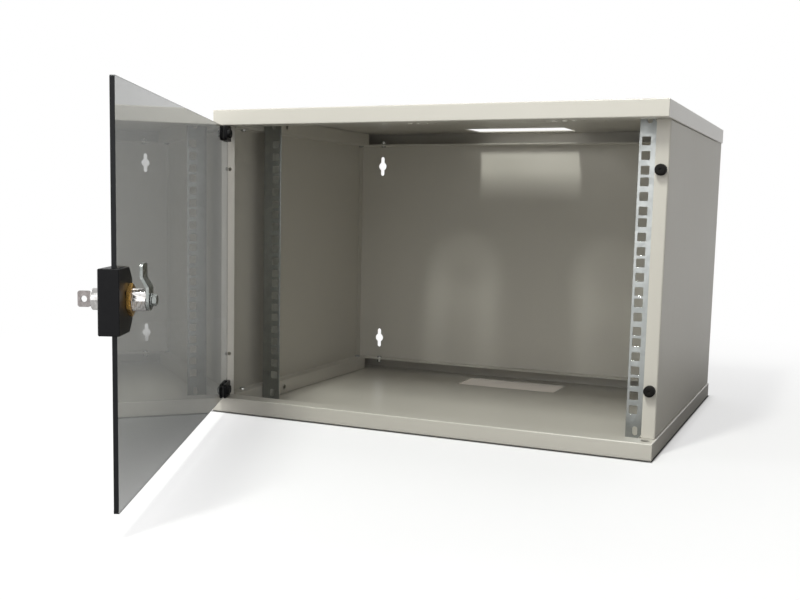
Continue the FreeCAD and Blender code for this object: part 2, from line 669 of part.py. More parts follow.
def lower_hinge_clamp():
    """Block on the lower hinge corner: a solid heel for the pin and two cheeks beside the glass."""
    x0, x1 = PIVOT_X - CLAMP_HEEL, PIVOT_X - CLAMP_HEEL + CLAMP_LENGTH
    block = box(x0, x1, PIVOT_Y - CLAMP_HALF, PIVOT_Y + CLAMP_HALF, CLAMP_LOW, CLAMP_TOP)
    middle = (CLAMP_LOW + CLAMP_TOP) / 2
    rounds = edges_along(block, "y", lambda c: c.z > middle and c.x > PIVOT_X)
    block = block.makeFillet(CLAMP_TOP_ROUND, rounds)
    block = block.makeFillet(CLAMP_ROUND, edges_along(block, "z", lambda c: c.x < PIVOT_X))
    gap = GLASS / 2 + CLAMP_PAD
    block = block.cut(box(PIVOT_X + CLAMP_ROOT, x1 + 1, PIVOT_Y - gap, PIVOT_Y + gap, CLAMP_LOW - 1, CLAMP_TOP + 1))
    block = block.cut(rod(PIN_R, (PIVOT_X, PIVOT_Y, CLAMP_LOW - 1), (0, 0, 1), PIN_ABOVE + 1))
    for x in knob_places():
        block = block.cut(rod(KNOB_STEM_R, (x, PIVOT_Y + gap - 1, middle), (0, 1, 0), CLAMP_HALF - gap + 2))
    return block


def upper_hinge_clamp():
    """The same block on the upper hinge corner."""
    return mirrored(lower_hinge_clamp(), "z")


def lower_clamp_pads():
    """Soft pads between the lower clamp's cheeks and the glass."""
    x0 = PIVOT_X + CLAMP_ROOT + PAD_MARGIN
    x1 = PIVOT_X - CLAMP_HEEL + CLAMP_LENGTH - PAD_MARGIN
    z0, z1 = GLASS_LOW + PAD_MARGIN, CLAMP_TOP - 2 * PAD_MARGIN
    return [box(x0, x1, GLASS_FACE_OUT - CLAMP_PAD, GLASS_FACE_OUT, z0, z1),
            box(x0, x1, GLASS_FACE_IN, GLASS_FACE_IN + CLAMP_PAD, z0, z1)]


def upper_clamp_pads():
    """The same pads at the top."""
    return [mirrored(pad, "z") for pad in lower_clamp_pads()]


def lower_clamp_screws():
    """Knob-headed screws that press the lower clamp's inner pad on the glass."""
    middle = (CLAMP_LOW + CLAMP_TOP) / 2
    start = GLASS_FACE_IN + CLAMP_PAD
    face = PIVOT_Y + CLAMP_HALF
    screws = []
    for x in knob_places():
        head = rod(KNOB_R, (x, face, middle), (0, 1, 0), KNOB_H)
        head = head.makeFillet(KNOB_EDGE, rim_at(head, "y", face + KNOB_H))
        screws.append(head.fuse(rod(KNOB_STEM_R, (x, start, middle), (0, 1, 0), face - start)).removeSplitter())
    return screws


def upper_clamp_screws():
    """The same screws at the top."""
    return [mirrored(screw, "z") for screw in lower_clamp_screws()]


# ---------------------------------------------------------------- glass

def door_glass():
    """Tinted pane, notched at the hinge corners and bored for the lock."""
    pane = box(GLASS_HINGE, GLASS_FREE, GLASS_FACE_OUT, GLASS_FACE_IN, GLASS_LOW, GLASS_HIGH)
    pane = pane.makeFillet(GLASS_CORNER_R, edges_along(pane, "y", lambda c: c.x > 0))
    notch_x, notch_z = PIVOT_X + CLAMP_ROOT + GLASS_NOTCH_GAP, CLAMP_TOP + GLASS_NOTCH_GAP
    notch = box(GLASS_HINGE - 1, notch_x, GLASS_FACE_OUT - 1, GLASS_FACE_IN + 1, GLASS_LOW - 1, notch_z)
    pane = pane.cut(notch).cut(mirrored(notch, "z"))
    return pane.cut(rod(GLASS_HOLE_R, (LOCK_X, GLASS_FACE_OUT - 1, LOCK_Z), (0, 1, 0), GLASS + 2))


# ---------------------------------------------------------------- lock

def lock_bracket():
    """Black bracket over the glass edge: a thick outer block, a web and a thinner inner plate."""
    x0 = BRACKET_END - BRACKET_DEPTH
    z0, z1 = LOCK_Z - BRACKET_HEIGHT / 2, LOCK_Z + BRACKET_HEIGHT / 2
    body = box(x0, BRACKET_END, BRACKET_OUT, BRACKET_IN, z0, z1)
    outer = edges_along(body, "z", lambda c: c.y < GLASS_FACE_OUT) + edges_along(body, "x",
                                                                               lambda c: c.y < GLASS_FACE_OUT)
    body = body.makeFillet(BRACKET_ROUND, outer)
    body = body.cut(box(x0 - 1, GLASS_FREE + EDGE_CLEAR, GLASS_FACE_OUT - BRACKET_PAD,
                        GLASS_FACE_IN + BRACKET_PAD, z0 - 1, z1 + 1))
    for side in (-1, 1):
        z = LOCK_Z + side * BRACKET_HEIGHT / 2
        corner = [(x0, z), (x0 + BRACKET_CHAMFER, z), (x0, z - side * BRACKET_CHAMFER)]
        body = body.cut(prism(corner, "xz", GLASS_FACE_IN, BRACKET_IN + 1))
    return body.cut(rod(BARREL_HOLE_R, (LOCK_X, BRACKET_OUT - 1, LOCK_Z), (0, 1, 0), BRACKET_IN - BRACKET_OUT + 2))


def bracket_pads():
    """Thin pads between the bracket and both faces of the glass."""
    x0, x1 = BRACKET_END - BRACKET_DEPTH + BRACKET_CHAMFER / 2, GLASS_FREE - PAD_MARGIN
    z0, z1 = LOCK_Z - BRACKET_HEIGHT / 2 + PAD_MARGIN, LOCK_Z + BRACKET_HEIGHT / 2 - PAD_MARGIN
    pads = []
    for y0 in (GLASS_FACE_OUT - BRACKET_PAD, GLASS_FACE_IN):
        pad = box(x0, x1, y0, y0 + BRACKET_PAD, z0, z1)
        pad = pad.makeChamfer(BRACKET_CHAMFER / 2, edges_along(pad, "y", lambda c: c.x < LOCK_X))
        pads.append(pad.cut(rod(GLASS_HOLE_R, (LOCK_X, y0 - 1, LOCK_Z), (0, 1, 0), BRACKET_PAD + 2)))
    return pads


def lock_barrel():
    """Threaded lock housing with a head and flange outside and two flats inside."""
    barrel = rod(BARREL_R, (LOCK_X, BRACKET_OUT, LOCK_Z), (0, 1, 0), BARREL_END - BRACKET_OUT)
    for side in (-1, 1):
        z = LOCK_Z + side * (BARREL_FLATS / 2 + BARREL_R)
        barrel = barrel.cut(box(LOCK_X - 2 * BARREL_R, LOCK_X + 2 * BARREL_R, BRACKET_IN, BARREL_END + 1,
                                z - BARREL_R, z + BARREL_R))
    flange = rod(BARREL_FLANGE_R, (LOCK_X, FLANGE_FACE, LOCK_Z), (0, 1, 0), BARREL_FLANGE_H)
    flange = flange.makeFillet(BARREL_FLANGE_EDGE, rim_at(flange, "y", FLANGE_FACE))
    head = rod(BARREL_HEAD_R, (LOCK_X, BARREL_FACE, LOCK_Z), (0, 1, 0), BARREL_HEAD_H)
    head = head.makeFillet(BARREL_HEAD_EDGE, rim_at(head, "y", BARREL_FACE))
    barrel = barrel.fuse([flange, head]).removeSplitter()
    return barrel.cut(rod(BARREL_BORE_R, (LOCK_X, BARREL_FACE - 1, LOCK_Z), (0, 1, 0),
                          BARREL_END - BARREL_FACE + 2))


def lock_nut():
    """Brass nut that draws the barrel's flange against the bracket."""
    nut = hexagon(LOCK_NUT_AF, (LOCK_X, BRACKET_IN, LOCK_Z), "y", LOCK_NUT_H)
    return nut.cut(rod(BARREL_HOLE_R, (LOCK_X, BRACKET_IN - 1, LOCK_Z), (0, 1, 0), LOCK_NUT_H + 2))


def lock_plug():
    """Turning core with a keyway, and a square tail that carries the cam."""
    face = BARREL_FACE - PLUG_PROUD
    plug = rod(PLUG_R, (LOCK_X, face, LOCK_Z), (0, 1, 0), BARREL_END + CAM_HOLE_CLEAR - face)
    half = PLUG_TAIL / 2
    tail_end = BARREL_END + PLUG_TAIL_LENGTH
    plug = plug.fuse(box(LOCK_X - half, LOCK_X + half, BARREL_END, tail_end, LOCK_Z - half, LOCK_Z + half))
    slot_x = KEY_SHEET / 2 + KEY_SLOT_CLEAR
    slot_z = KEY_BLADE_HEIGHT / 2 + KEY_SLOT_CLEAR
    plug = plug.cut(box(LOCK_X - slot_x, LOCK_X + slot_x, face - 1, face + KEY_BLADE_LENGTH + 1,
                        LOCK_Z - slot_z, LOCK_Z + slot_z))
    return plug.cut(rod(CAM_SCREW_R, (LOCK_X, tail_end - CAM_SCREW_DEPTH, LOCK_Z), (0, 1, 0),
                        CAM_SCREW_DEPTH + 1))


def cam_face():
    """Y of the cam's face on the barrel's side."""
    return BARREL_END + 2 * CAM_HOLE_CLEAR


def lock_cam():
    """Joggled cam on the plug's tail, standing up while unlocked."""
    y = cam_face()
    path = [(y - CAM_JOGGLE, LOCK_Z + CAM_REACH), (y - CAM_JOGGLE, LOCK_Z + CAM_FLAT + CAM_SLOPE),
            (y, LOCK_Z + CAM_FLAT), (y, LOCK_Z - CAM_HEEL)]
    half = CAM_WIDTH / 2
    cam = bent_sheet(path, CAM_SHEET, CAM_BEND_IN, "yz", LOCK_X - half, LOCK_X + half)
    outline = box(LOCK_X - half, LOCK_X + half, y - 2 * CAM_JOGGLE, y + 2 * CAM_SHEET,
                  LOCK_Z - CAM_HEEL, LOCK_Z + CAM_REACH)
    outline = outline.makeFillet(CAM_TIP_R, edges_along(outline, "y", lambda c: c.z > LOCK_Z))
    outline = outline.makeFillet(CAM_HEEL_ROUND, edges_along(outline, "y", lambda c: c.z < LOCK_Z))
    cam = cam.common(outline)
    hole = PLUG_TAIL / 2 + CAM_HOLE_CLEAR
    return cam.cut(box(LOCK_X - hole, LOCK_X + hole, y - 1, y + CAM_SHEET + 1, LOCK_Z - hole, LOCK_Z + hole))


def cam_screw():
    """Hexagon screw with its washer, holding the cam on the tail."""
    tail_end = BARREL_END + PLUG_TAIL_LENGTH
    screw = rod(CAM_SCREW_R, (LOCK_X, tail_end - CAM_SCREW_DEPTH, LOCK_Z), (0, 1, 0), CAM_SCREW_DEPTH)
    screw = screw.fuse(rod(CAM_SCREW_WASHER_R, (LOCK_X, tail_end, LOCK_Z), (0, 1, 0), CAM_SCREW_WASHER_H))
    head_start = tail_end + CAM_SCREW_WASHER_H
    return screw.fuse(hexagon(CAM_SCREW_AF, (LOCK_X, head_start, LOCK_Z), "y", CAM_SCREW_H)).removeSplitter()


def key():
    """Flat key with its blade in the plug."""
    face = BARREL_FACE - PLUG_PROUD - KEY_SLOT_CLEAR
    x0, x1 = LOCK_X - KEY_SHEET / 2, LOCK_X + KEY_SHEET / 2
    neck_end, bow_end = face - KEY_NECK_LENGTH, face - KEY_NECK_LENGTH - KEY_BOW_LENGTH
    bow = box(x0, x1, bow_end, neck_end, LOCK_Z - KEY_BOW_HEIGHT / 2, LOCK_Z + KEY_BOW_HEIGHT / 2)
    bow = bow.makeFillet(KEY_BOW_ROUND, edges_along(bow, "x", lambda c: True))
    neck = box(x0, x1, neck_end, face, LOCK_Z - KEY_NECK_HEIGHT / 2, LOCK_Z + KEY_NECK_HEIGHT / 2)
    top = LOCK_Z + KEY_BLADE_HEIGHT / 2
    low = LOCK_Z - KEY_BLADE_HEIGHT / 2
    tip = face + KEY_BLADE_LENGTH
    pitch = (KEY_BLADE_LENGTH - 2 * KEY_TIP) / len(KEY_CUTS)
    outline = [(face, low), (tip - KEY_TIP, low), (tip, LOCK_Z)]
    for k, depth in enumerate(reversed(KEY_CUTS)):
        start = tip - KEY_TIP - k * pitch
        outline += [(start, top), (start - pitch / 2, top - depth)]
    outline += [(face + KEY_TIP, top), (face, top)]
    blade = prism(outline, "yz", x0, x1)
    hole = rod(KEY_HOLE_R, (x0 - 1, bow_end + KEY_HOLE_IN, LOCK_Z), (1, 0, 0), KEY_SHEET + 2)
    return bow.fuse([neck, blade]).removeSplitter().cut(hole)


# ---------------------------------------------------------------- assembly

FIXED = [bottom_pan, top_cover, left_side_panel, right_side_panel, back_panel, pan_screws, pan_nuts,
         cover_screws, cover_nuts, left_rack_rail, right_rack_rail, rail_screws, rail_nuts,
         lower_bumper, upper_bumper, lower_pivot_bush, upper_pivot_bush]
SWINGING = [door_glass, lower_hinge_clamp, upper_hinge_clamp, lower_hinge_pin, upper_hinge_pin,
            lower_clamp_pads, upper_clamp_pads, lower_clamp_screws, upper_clamp_screws,
            lock_bracket, bracket_pads, lock_barrel, lock_nut, lock_plug, lock_cam, cam_screw, key]


def swung_open(shape):
    """The shape turned with the door from closed to the stored, open position."""
    shape.rotate(FreeCAD.Vector(PIVOT_X, PIVOT_Y, 0), FreeCAD.Vector(0, 0, 1), -DOOR_OPEN)
    return shape


def main():
    """Build every sub-part and write it to its own STEP file."""
    os.makedirs("parts", exist_ok=True)
    for maker in FIXED + SWINGING:
        made = maker()
        shape = Part.makeCompound(made) if isinstance(made, list) else made
        if maker in SWINGING:
            shape = swung_open(shape)
        solids = shape.Solids
        good = all(solid.isValid() and solid.isClosed() for solid in solids)
        print(maker.__name__, len(solids), "solids", round(sum(s.Volume for s in solids), 1), "mm3",
              "ok" if good and solids else "BAD")
        if len(solids) == 1:
            shape = solids[0]
        shape.exportStep(os.path.join("parts", maker.__name__ + ".step"))


main()
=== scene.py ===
"""Looks of a wall mount network cabinet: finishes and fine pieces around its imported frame.

Everything is in metres, in the frame's own axes: +X right, +Y towards the wall, +Z up.
The door stands open, so what its clamps and its lock carry is laid along the lock's own axis.
"""

import json
import logging
import math
from collections.abc import Callable, Iterable, Sequence
from dataclasses import dataclass
from enum import Enum
from types import SimpleNamespace
from typing import Any, ClassVar

import bmesh
import bpy
from mathutils import Matrix, Vector

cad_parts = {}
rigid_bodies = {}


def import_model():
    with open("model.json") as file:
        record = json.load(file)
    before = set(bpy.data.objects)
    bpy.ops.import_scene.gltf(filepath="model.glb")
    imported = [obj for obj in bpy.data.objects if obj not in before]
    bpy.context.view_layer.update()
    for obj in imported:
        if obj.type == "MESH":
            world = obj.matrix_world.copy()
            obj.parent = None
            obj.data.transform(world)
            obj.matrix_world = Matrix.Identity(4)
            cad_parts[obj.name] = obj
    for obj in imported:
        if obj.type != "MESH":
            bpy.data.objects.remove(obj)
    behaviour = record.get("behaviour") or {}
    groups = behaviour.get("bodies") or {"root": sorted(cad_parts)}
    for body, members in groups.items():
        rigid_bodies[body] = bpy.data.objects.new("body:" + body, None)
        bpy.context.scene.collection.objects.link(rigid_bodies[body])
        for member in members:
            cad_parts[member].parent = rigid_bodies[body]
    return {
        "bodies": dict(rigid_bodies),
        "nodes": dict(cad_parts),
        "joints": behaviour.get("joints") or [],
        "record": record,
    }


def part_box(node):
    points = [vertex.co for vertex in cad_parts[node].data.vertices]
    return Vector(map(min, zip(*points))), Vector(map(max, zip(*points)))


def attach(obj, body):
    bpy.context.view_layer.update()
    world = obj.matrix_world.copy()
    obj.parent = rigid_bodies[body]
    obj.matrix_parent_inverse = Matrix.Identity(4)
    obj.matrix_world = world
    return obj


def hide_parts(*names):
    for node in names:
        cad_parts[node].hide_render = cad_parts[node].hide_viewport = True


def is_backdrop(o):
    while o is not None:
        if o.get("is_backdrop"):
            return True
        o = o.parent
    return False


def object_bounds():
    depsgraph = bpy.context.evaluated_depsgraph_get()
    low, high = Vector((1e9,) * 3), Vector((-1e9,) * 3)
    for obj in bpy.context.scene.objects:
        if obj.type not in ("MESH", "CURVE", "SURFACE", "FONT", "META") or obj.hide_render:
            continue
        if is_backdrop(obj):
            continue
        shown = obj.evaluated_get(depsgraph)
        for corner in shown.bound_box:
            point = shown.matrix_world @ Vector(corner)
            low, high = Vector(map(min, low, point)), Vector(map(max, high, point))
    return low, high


LOG = logging.getLogger("cabinet")
MM = 0.001
SAME_POINT = 0.001 * MM
SEAM_GAP = 0.002 * MM
QUARTER = math.pi / 2
Triple = tuple[float, float, float]
Colour = Triple
Box = tuple[Vector, Vector]
Seat = tuple[Vector, Vector]


class Axis(Enum):
    """Directions in which a piece can point."""

    UP = (0.0, 0.0, 1.0)
    DOWN = (0.0, 0.0, -1.0)
    RIGHT = (1.0, 0.0, 0.0)
    LEFT = (-1.0, 0.0, 0.0)
    FRONT = (0.0, -1.0, 0.0)

    @property
    def way(self) -> Vector:
        """The direction as a vector."""
        return Vector(self.value)


def laid(way: Vector) -> Matrix:
    """Rotation that lays local +Z along a direction."""
    return way.to_track_quat("Z", "Y").to_matrix().to_4x4()


# ---------------------------------------- node trees as expressions


def _operator(operation: str, first: bool = True) -> Callable[["Sock", "Sock | float"], "Sock"]:
    """Operator method that adds one Math node, with its own value first or last."""
    return lambda own, other: own.op(operation, other, first=first)


class Sock:
    """An output socket that takes part in Python arithmetic, adding Math nodes as it goes."""

    __add__, __radd__ = _operator("ADD"), _operator("ADD", False)
    __sub__, __rsub__ = _operator("SUBTRACT"), _operator("SUBTRACT", False)
    __mul__, __rmul__ = _operator("MULTIPLY"), _operator("MULTIPLY", False)
    __truediv__, __rtruediv__ = _operator("DIVIDE"), _operator("DIVIDE", False)
    __pow__, __mod__ = _operator("POWER"), _operator("FLOORED_MODULO")
    __gt__, __lt__ = _operator("GREATER_THAN"), _operator("LESS_THAN")

    def __init__(self, tree: "Tree", out: bpy.types.NodeSocket | None) -> None:
        """Wrap an output socket of a tree."""
        self.tree = tree
        self.out = out

    def op(self, operation: str, *others: "Sock | float", first: bool = True) -> "Sock":
        """Any Math operation on this value, first or last, and others."""
        values = (self, *others) if first else (*others, self)
        return self.tree.add("ShaderNodeMath", dict(enumerate(values)), operation=operation)

    def held(self, low: float, high: float | None = None) -> "Sock":
        """The value, kept from falling below one number and, if given, from passing another."""
        raised = self.op("MAXIMUM", low)
        return raised if high is None else raised.op("MINIMUM", high)


Value = Sock | Sequence[Sock] | float | int | bool | Sequence[float] | bpy.types.ID | str


class Tree:
    """A node tree under construction."""

    def __init__(self, nodes: bpy.types.NodeTree) -> None:
        """Start on an empty tree."""
        self.nodes = nodes

    def add(self, kind: str, sockets: dict[str | int, Value] | None = None, output: int | str = 0,
            **settings: Any) -> Sock:
        """Add one node.

        Args:
            kind: The node's type.
            sockets: Values or links by input name or place.
            output: Name or place of the output to return.
            **settings: The node's properties, which are set first.

        Returns:
            The chosen output.
        """
        node = self.nodes.nodes.new(kind)
        for name, value in settings.items():
            setattr(node, name, value)
        for name, value in (sockets or {}).items():
            self._feed(node.inputs[name], value)
        return Sock(self, node.outputs[output] if node.outputs else None)

    def _feed(self, socket: bpy.types.NodeSocket, value: Value) -> None:
        """Link an input, or set its own value.

        Args:
            socket: The input.
            value: What it gets; the members of a list are linked in turn.
        """
        if isinstance(value, Sock):
            self.nodes.links.new(value.out, socket)
        elif isinstance(value, list):
            for one in value:
                self.nodes.links.new(one.out, socket)
        elif isinstance(value, tuple) and socket.type == "RGBA":
            socket.default_value = (*value, 1.0)
        else:
            socket.default_value = value


class Shade(Tree):
    """A material's tree."""

    def __init__(self, name: str) -> None:
        """Make an empty material.

        Args:
            name: The material's name.
        """
        self.material = bpy.data.materials.new(name)
        self.material.use_nodes = True
        super().__init__(self.material.node_tree)
        self.nodes.nodes.clear()
        self.place = self.add("ShaderNodeTexCoord", output="Object")

    def noise(self, size: float, detail: float = 2.0, stretch: Triple = (1.0, 1.0, 1.0),
              seed: float = 0.0) -> Sock:
        """Noise over the surface, around 0.5.

        Args:
            size: Width of its blobs, in metres.
            detail: Octaves.
            stretch: Factors on the coordinates; a low one draws the pattern out along that axis.
            seed: Shift that sets one pattern apart from another.

        Returns:
            The noise value.
        """
        where = self.add("ShaderNodeMapping", {"Vector": self.place, "Scale": stretch,
                                               "Location": (seed, seed, seed)})
        return self.add("ShaderNodeTexNoise", {"Vector": where, "Scale": 1.0 / size, "Detail": detail},
                        "Fac", noise_dimensions="3D")

    def between(self, low: float, high: float, share: Sock) -> Sock:
        """Value that runs from low to high as the share runs from 0 to 1."""
        return self.add("ShaderNodeMapRange", {"Value": share, "To Min": low, "To Max": high}, clamp=True)

    def band(self, value: Sock, start: float, end: float) -> Sock:
        """Share that rises smoothly from 0 to 1 while a value goes from start to end."""
        return self.add("ShaderNodeMapRange", {"Value": value, "From Min": start, "From Max": end},
                        interpolation_type="SMOOTHSTEP")

    def blend(self, share: Sock | float, first: Colour | Sock, second: Colour | Sock) -> Sock:
        """Colour between two colours."""
        return self.add("ShaderNodeMix", {0: share, 6: first, 7: second}, 2, data_type="RGBA")

    def bump(self, height: Sock, depth: float, **under: Sock) -> Sock:
        """Normal of a surface with a height field of this depth, in metres, over a given Normal."""
        return self.add("ShaderNodeBump", {"Height": height, "Distance": depth, **under})

    def surface(self, **sockets: Value) -> bpy.types.Material:
        """Close the material with a Principled shader, given its inputs with underscores for spaces."""
        named = {name.replace("_", " "): value for name, value in sockets.items()}
        return self.close(self.add("ShaderNodeBsdfPrincipled", named))

    def close(self, shader: Sock) -> bpy.types.Material:
        """Send a shader to the material's output."""
        self.add("ShaderNodeOutputMaterial", {"Surface": shader})
        return self.material


# ---------------------------------------- finishes


@dataclass(frozen=True)
class PowderCoat:
    """Semi-gloss powder coat with fine orange peel, faint clouding and handling marks."""

    colour: Colour = (0.600, 0.578, 0.522)
    shade: Colour = (0.560, 0.541, 0.489)
    roughness: tuple[float, float] = (0.40, 0.52)
    gloss: float = 0.25
    peel: float = 1.6 * MM
    peel_depth: float = 0.024 * MM
    sheet_wave: float = 90 * MM
    wave_depth: float = 0.16 * MM
    cloud: float = 120 * MM
    speck: float = 0.7 * MM
    mark: float = 14 * MM

    def make(self, name: str) -> bpy.types.Material:
        """Build the material.

        Args:
            name: The material's name.

        Returns:
            The material.
        """
        shade = Shade(name)
        cloud = shade.noise(self.cloud, 3.0)
        grain = shade.noise(self.speck, 1.0, seed=3.0)
        marks = shade.noise(self.mark, 4.0, (1.0, 1.0, 0.35), 7.0)
        tone = shade.blend(cloud * 0.6 + grain * 0.4, self.shade, self.colour)
        scuffed = shade.band(marks, 0.55, 0.75)
        rough = shade.between(*self.roughness, cloud * 0.7 + scuffed * 0.3)
        sheet = shade.bump(shade.noise(self.sheet_wave, 1.0, seed=11.0), self.wave_depth)
        coat = shade.bump(shade.noise(self.peel, 2.0, seed=5.0), self.peel_depth, Normal=sheet)
        return shade.surface(Base_Color=tone, Roughness=rough, Normal=coat, Specular_IOR_Level=self.gloss)


@dataclass(frozen=True)
class PlatedMetal:
    """Plated or bare metal with cloudy plating, drawn lines and rub marks."""

    bright: Colour
    dull: Colour
    roughness: tuple[float, float]
    cloud: float = 14 * MM
    lines: float = 0.5 * MM
    line_axis: int = 2
    line_depth: float = 0.006 * MM

    def make(self, name: str) -> bpy.types.Material:
        """Build the material.

        Args:
            name: The material's name.

        Returns:
            The material.
        """
        shade = Shade(name)
        cloud = shade.noise(self.cloud, 4.0)
        spangle = shade.add("ShaderNodeTexVoronoi", {"Vector": shade.place, "Scale": 1.6 / self.cloud},
                            "Color", feature="F1")
        grey = shade.add("ShaderNodeRGBToBW", {0: spangle})
        stretch = tuple(0.04 if axis == self.line_axis else 1.0 for axis in range(3))
        drawn = shade.noise(self.lines, 2.0, stretch, 4.0)
        bright = shade.band(cloud * 0.55 + grey * 0.25 + drawn * 0.2, 0.3, 0.7)
        return shade.surface(Base_Color=shade.blend(bright, self.dull, self.bright), Metallic=1.0,
                             Roughness=shade.between(*self.roughness, 1.0 - bright),
                             Normal=shade.bump(drawn, self.line_depth))


@dataclass(frozen=True)
class Moulded:
    """Plastic, rubber or foam, with a moulded grain and a little dust."""

    colour: Colour
    dust: Colour
    roughness: tuple[float, float]
    grain: float = 0.6 * MM
    grain_depth: float = 0.03 * MM
    dusty: float = 0.35
    patch: float = 9 * MM
    gloss: float = 0.12

    def make(self, name: str) -> bpy.types.Material:
        """Build the material.

        Args:
            name: The material's name.

        Returns:
            The material.
        """
        shade = Shade(name)
        grain = shade.noise(self.grain, 2.0)
        cloud = shade.noise(self.patch, 4.0, seed=2.0)
        settled = shade.band(cloud, 0.45, 0.85) * self.dusty
        rough = shade.between(*self.roughness, cloud * 0.6 + grain * 0.4)
        return shade.surface(Base_Color=shade.blend(settled, self.colour, self.dust), Roughness=rough,
                             Specular_IOR_Level=self.gloss, Normal=shade.bump(grain, self.grain_depth))


@dataclass(frozen=True)
class TintedGlass:
    """Grey toughened glass with a few wiping marks."""

    tint: Colour = (0.300, 0.305, 0.295)
    smear: Colour = (0.286, 0.291, 0.282)
    index: float = 1.52
    smears: tuple[float, float] = (0.0, 0.02)
    wipe: float = 60 * MM

    def make(self, name: str) -> bpy.types.Material:
        """Build the material.

        Args:
            name: The material's name.

        Returns:
            The material.
        """
        shade = Shade(name)
        wiped = shade.band(shade.noise(self.wipe, 4.0, (1.0, 1.0, 0.4)), 0.5, 0.8)
        return shade.surface(Base_Color=shade.blend(wiped, self.tint, self.smear), IOR=self.index,
                             Roughness=shade.between(*self.smears, wiped), Transmission_Weight=1.0)


@dataclass(frozen=True)
class GroundEdge:
    """Ground and polished edge of tinted glass, seen as a dark satin band."""

    deep: Colour = (0.004, 0.004, 0.005)
    pale: Colour = (0.012, 0.013, 0.015)
    roughness: tuple[float, float] = (0.22, 0.4)
    gloss: float = 0.15
    grit: float = 1.2 * MM
    grit_depth: float = 0.01 * MM

    def make(self, name: str) -> bpy.types.Material:
        """Build the material.

        Args:
            name: The material's name.

        Returns:
            The material.
        """
        shade = Shade(name)
        ground = shade.noise(self.grit, 3.0)
        return shade.surface(Base_Color=shade.blend(ground, self.deep, self.pale),
                             Roughness=shade.between(*self.roughness, ground),
                             Specular_IOR_Level=self.gloss, Normal=shade.bump(ground, self.grit_depth))


class Finish(Enum):
    """Every finish on the cabinet: its material slot in the record and how it is made."""

    PAINT = ("cabinet_paint", PowderCoat())
    TRAY = ("cabinet_paint", PowderCoat(roughness=(0.26, 0.34), gloss=0.5))
    RAIL = ("rail_zinc", PlatedMetal((0.385, 0.40, 0.392), (0.325, 0.34, 0.333), (0.30, 0.40)))
    RIM = ("rail_zinc", PlatedMetal((0.62, 0.64, 0.63), (0.50, 0.52, 0.51), (0.10, 0.16)))
    SCREW = ("screw_steel", PlatedMetal((0.52, 0.52, 0.50), (0.32, 0.33, 0.32), (0.20, 0.34), 4 * MM))
    RUBBER = ("bumper_rubber", Moulded((0.008, 0.0075, 0.007), (0.03, 0.028, 0.026), (0.5, 0.7)))
    BUSH = ("bush_black", Moulded((0.014, 0.014, 0.015), (0.05, 0.05, 0.05), (0.35, 0.5)))
    GLASS = ("tinted_glass", TintedGlass())
    EDGE = ("tinted_glass", GroundEdge())
    CLAMP = ("clamp_black", Moulded((0.006, 0.006, 0.007), (0.022, 0.021, 0.02), (0.3, 0.45)))
    PAD = ("pad_grey", Moulded((0.10, 0.10, 0.10), (0.2, 0.19, 0.18), (0.7, 0.9), 0.4 * MM, 0.08 * MM))
    BRACKET = ("bracket_black", Moulded((0.005, 0.005, 0.006), (0.016, 0.016, 0.016), (0.32, 0.48),
                                        0.5 * MM, 0.02 * MM, 0.2))
    CHROME = ("lock_chrome", PlatedMetal((0.55, 0.54, 0.53), (0.34, 0.33, 0.32), (0.05, 0.12), 5 * MM,
                                         0.3 * MM, 0, 0.002 * MM))
    BRASS = ("nut_brass", PlatedMetal((0.62, 0.38, 0.11), (0.38, 0.21, 0.05), (0.18, 0.32), 4 * MM,
                                      0.4 * MM, 2, 0.004 * MM))
    CAM = ("cam_steel", PlatedMetal((0.27, 0.285, 0.275), (0.18, 0.195, 0.185), (0.22, 0.38), 7 * MM,
                                    0.4 * MM, 2, 0.006 * MM))
    KEY = ("key_nickel", PlatedMetal((0.25, 0.23, 0.225), (0.17, 0.155, 0.15), (0.18, 0.34), 5 * MM,
                                     0.25 * MM, 0, 0.005 * MM))

    def __init__(self, slot: str, recipe: Any) -> None:
        """Keep the slot's name and the recipe."""
        self.slot = slot
        self.recipe = recipe

    def material(self) -> bpy.types.Material:
        """This finish's material, made the first time it is asked for."""
        name = self.name.lower()
        return bpy.data.materials.get(name) or self.recipe.make(name)


# ---------------------------------------- meshes


def add_object(name: str, mesh: bpy.types.Mesh) -> bpy.types.Object:
    """Put a mesh into the scene as an object at the origin.

    Args:
        name: The object's name.
        mesh: Its mesh, already in place.

    Returns:
        The new object.
    """
    made = bpy.data.objects.new(name, mesh)
    bpy.context.scene.collection.objects.link(made)
    return made


def baked(host: bpy.types.Object) -> bpy.types.Mesh:
    """Plain mesh of an object under its modifiers.

    Args:
        host: The object, which is used up.

    Returns:
        The mesh.
    """
    graph = bpy.context.evaluated_depsgraph_get()
    mesh = bpy.data.meshes.new_from_object(host.evaluated_get(graph), depsgraph=graph)
    host.modifiers.clear()
    bpy.data.objects.remove(host)
    return mesh


def emptied(bm: bmesh.types.BMesh, name: str) -> bpy.types.Mesh:
    """Turn a bmesh into a new mesh, and free it.

    Args:
        bm: The bmesh.
        name: The mesh's name.

    Returns:
        The mesh.
    """
    mesh = bpy.data.meshes.new(name)
    bm.to_mesh(mesh)
    bm.free()
    return mesh


def smooth_by_angle(bm: bmesh.types.BMesh, sharp: float = 28.0) -> None:
    """Shade smooth, with a crease wherever two faces meet at a wide enough angle.

    Args:
        bm: What is shaded.
        sharp: The least angle of a crease, in degrees.
    """
    for face in bm.faces:
        face.smooth = True
    for edge in bm.edges:
        edge.smooth = len(edge.link_faces) == 2 and edge.calc_face_angle() < math.radians(sharp)


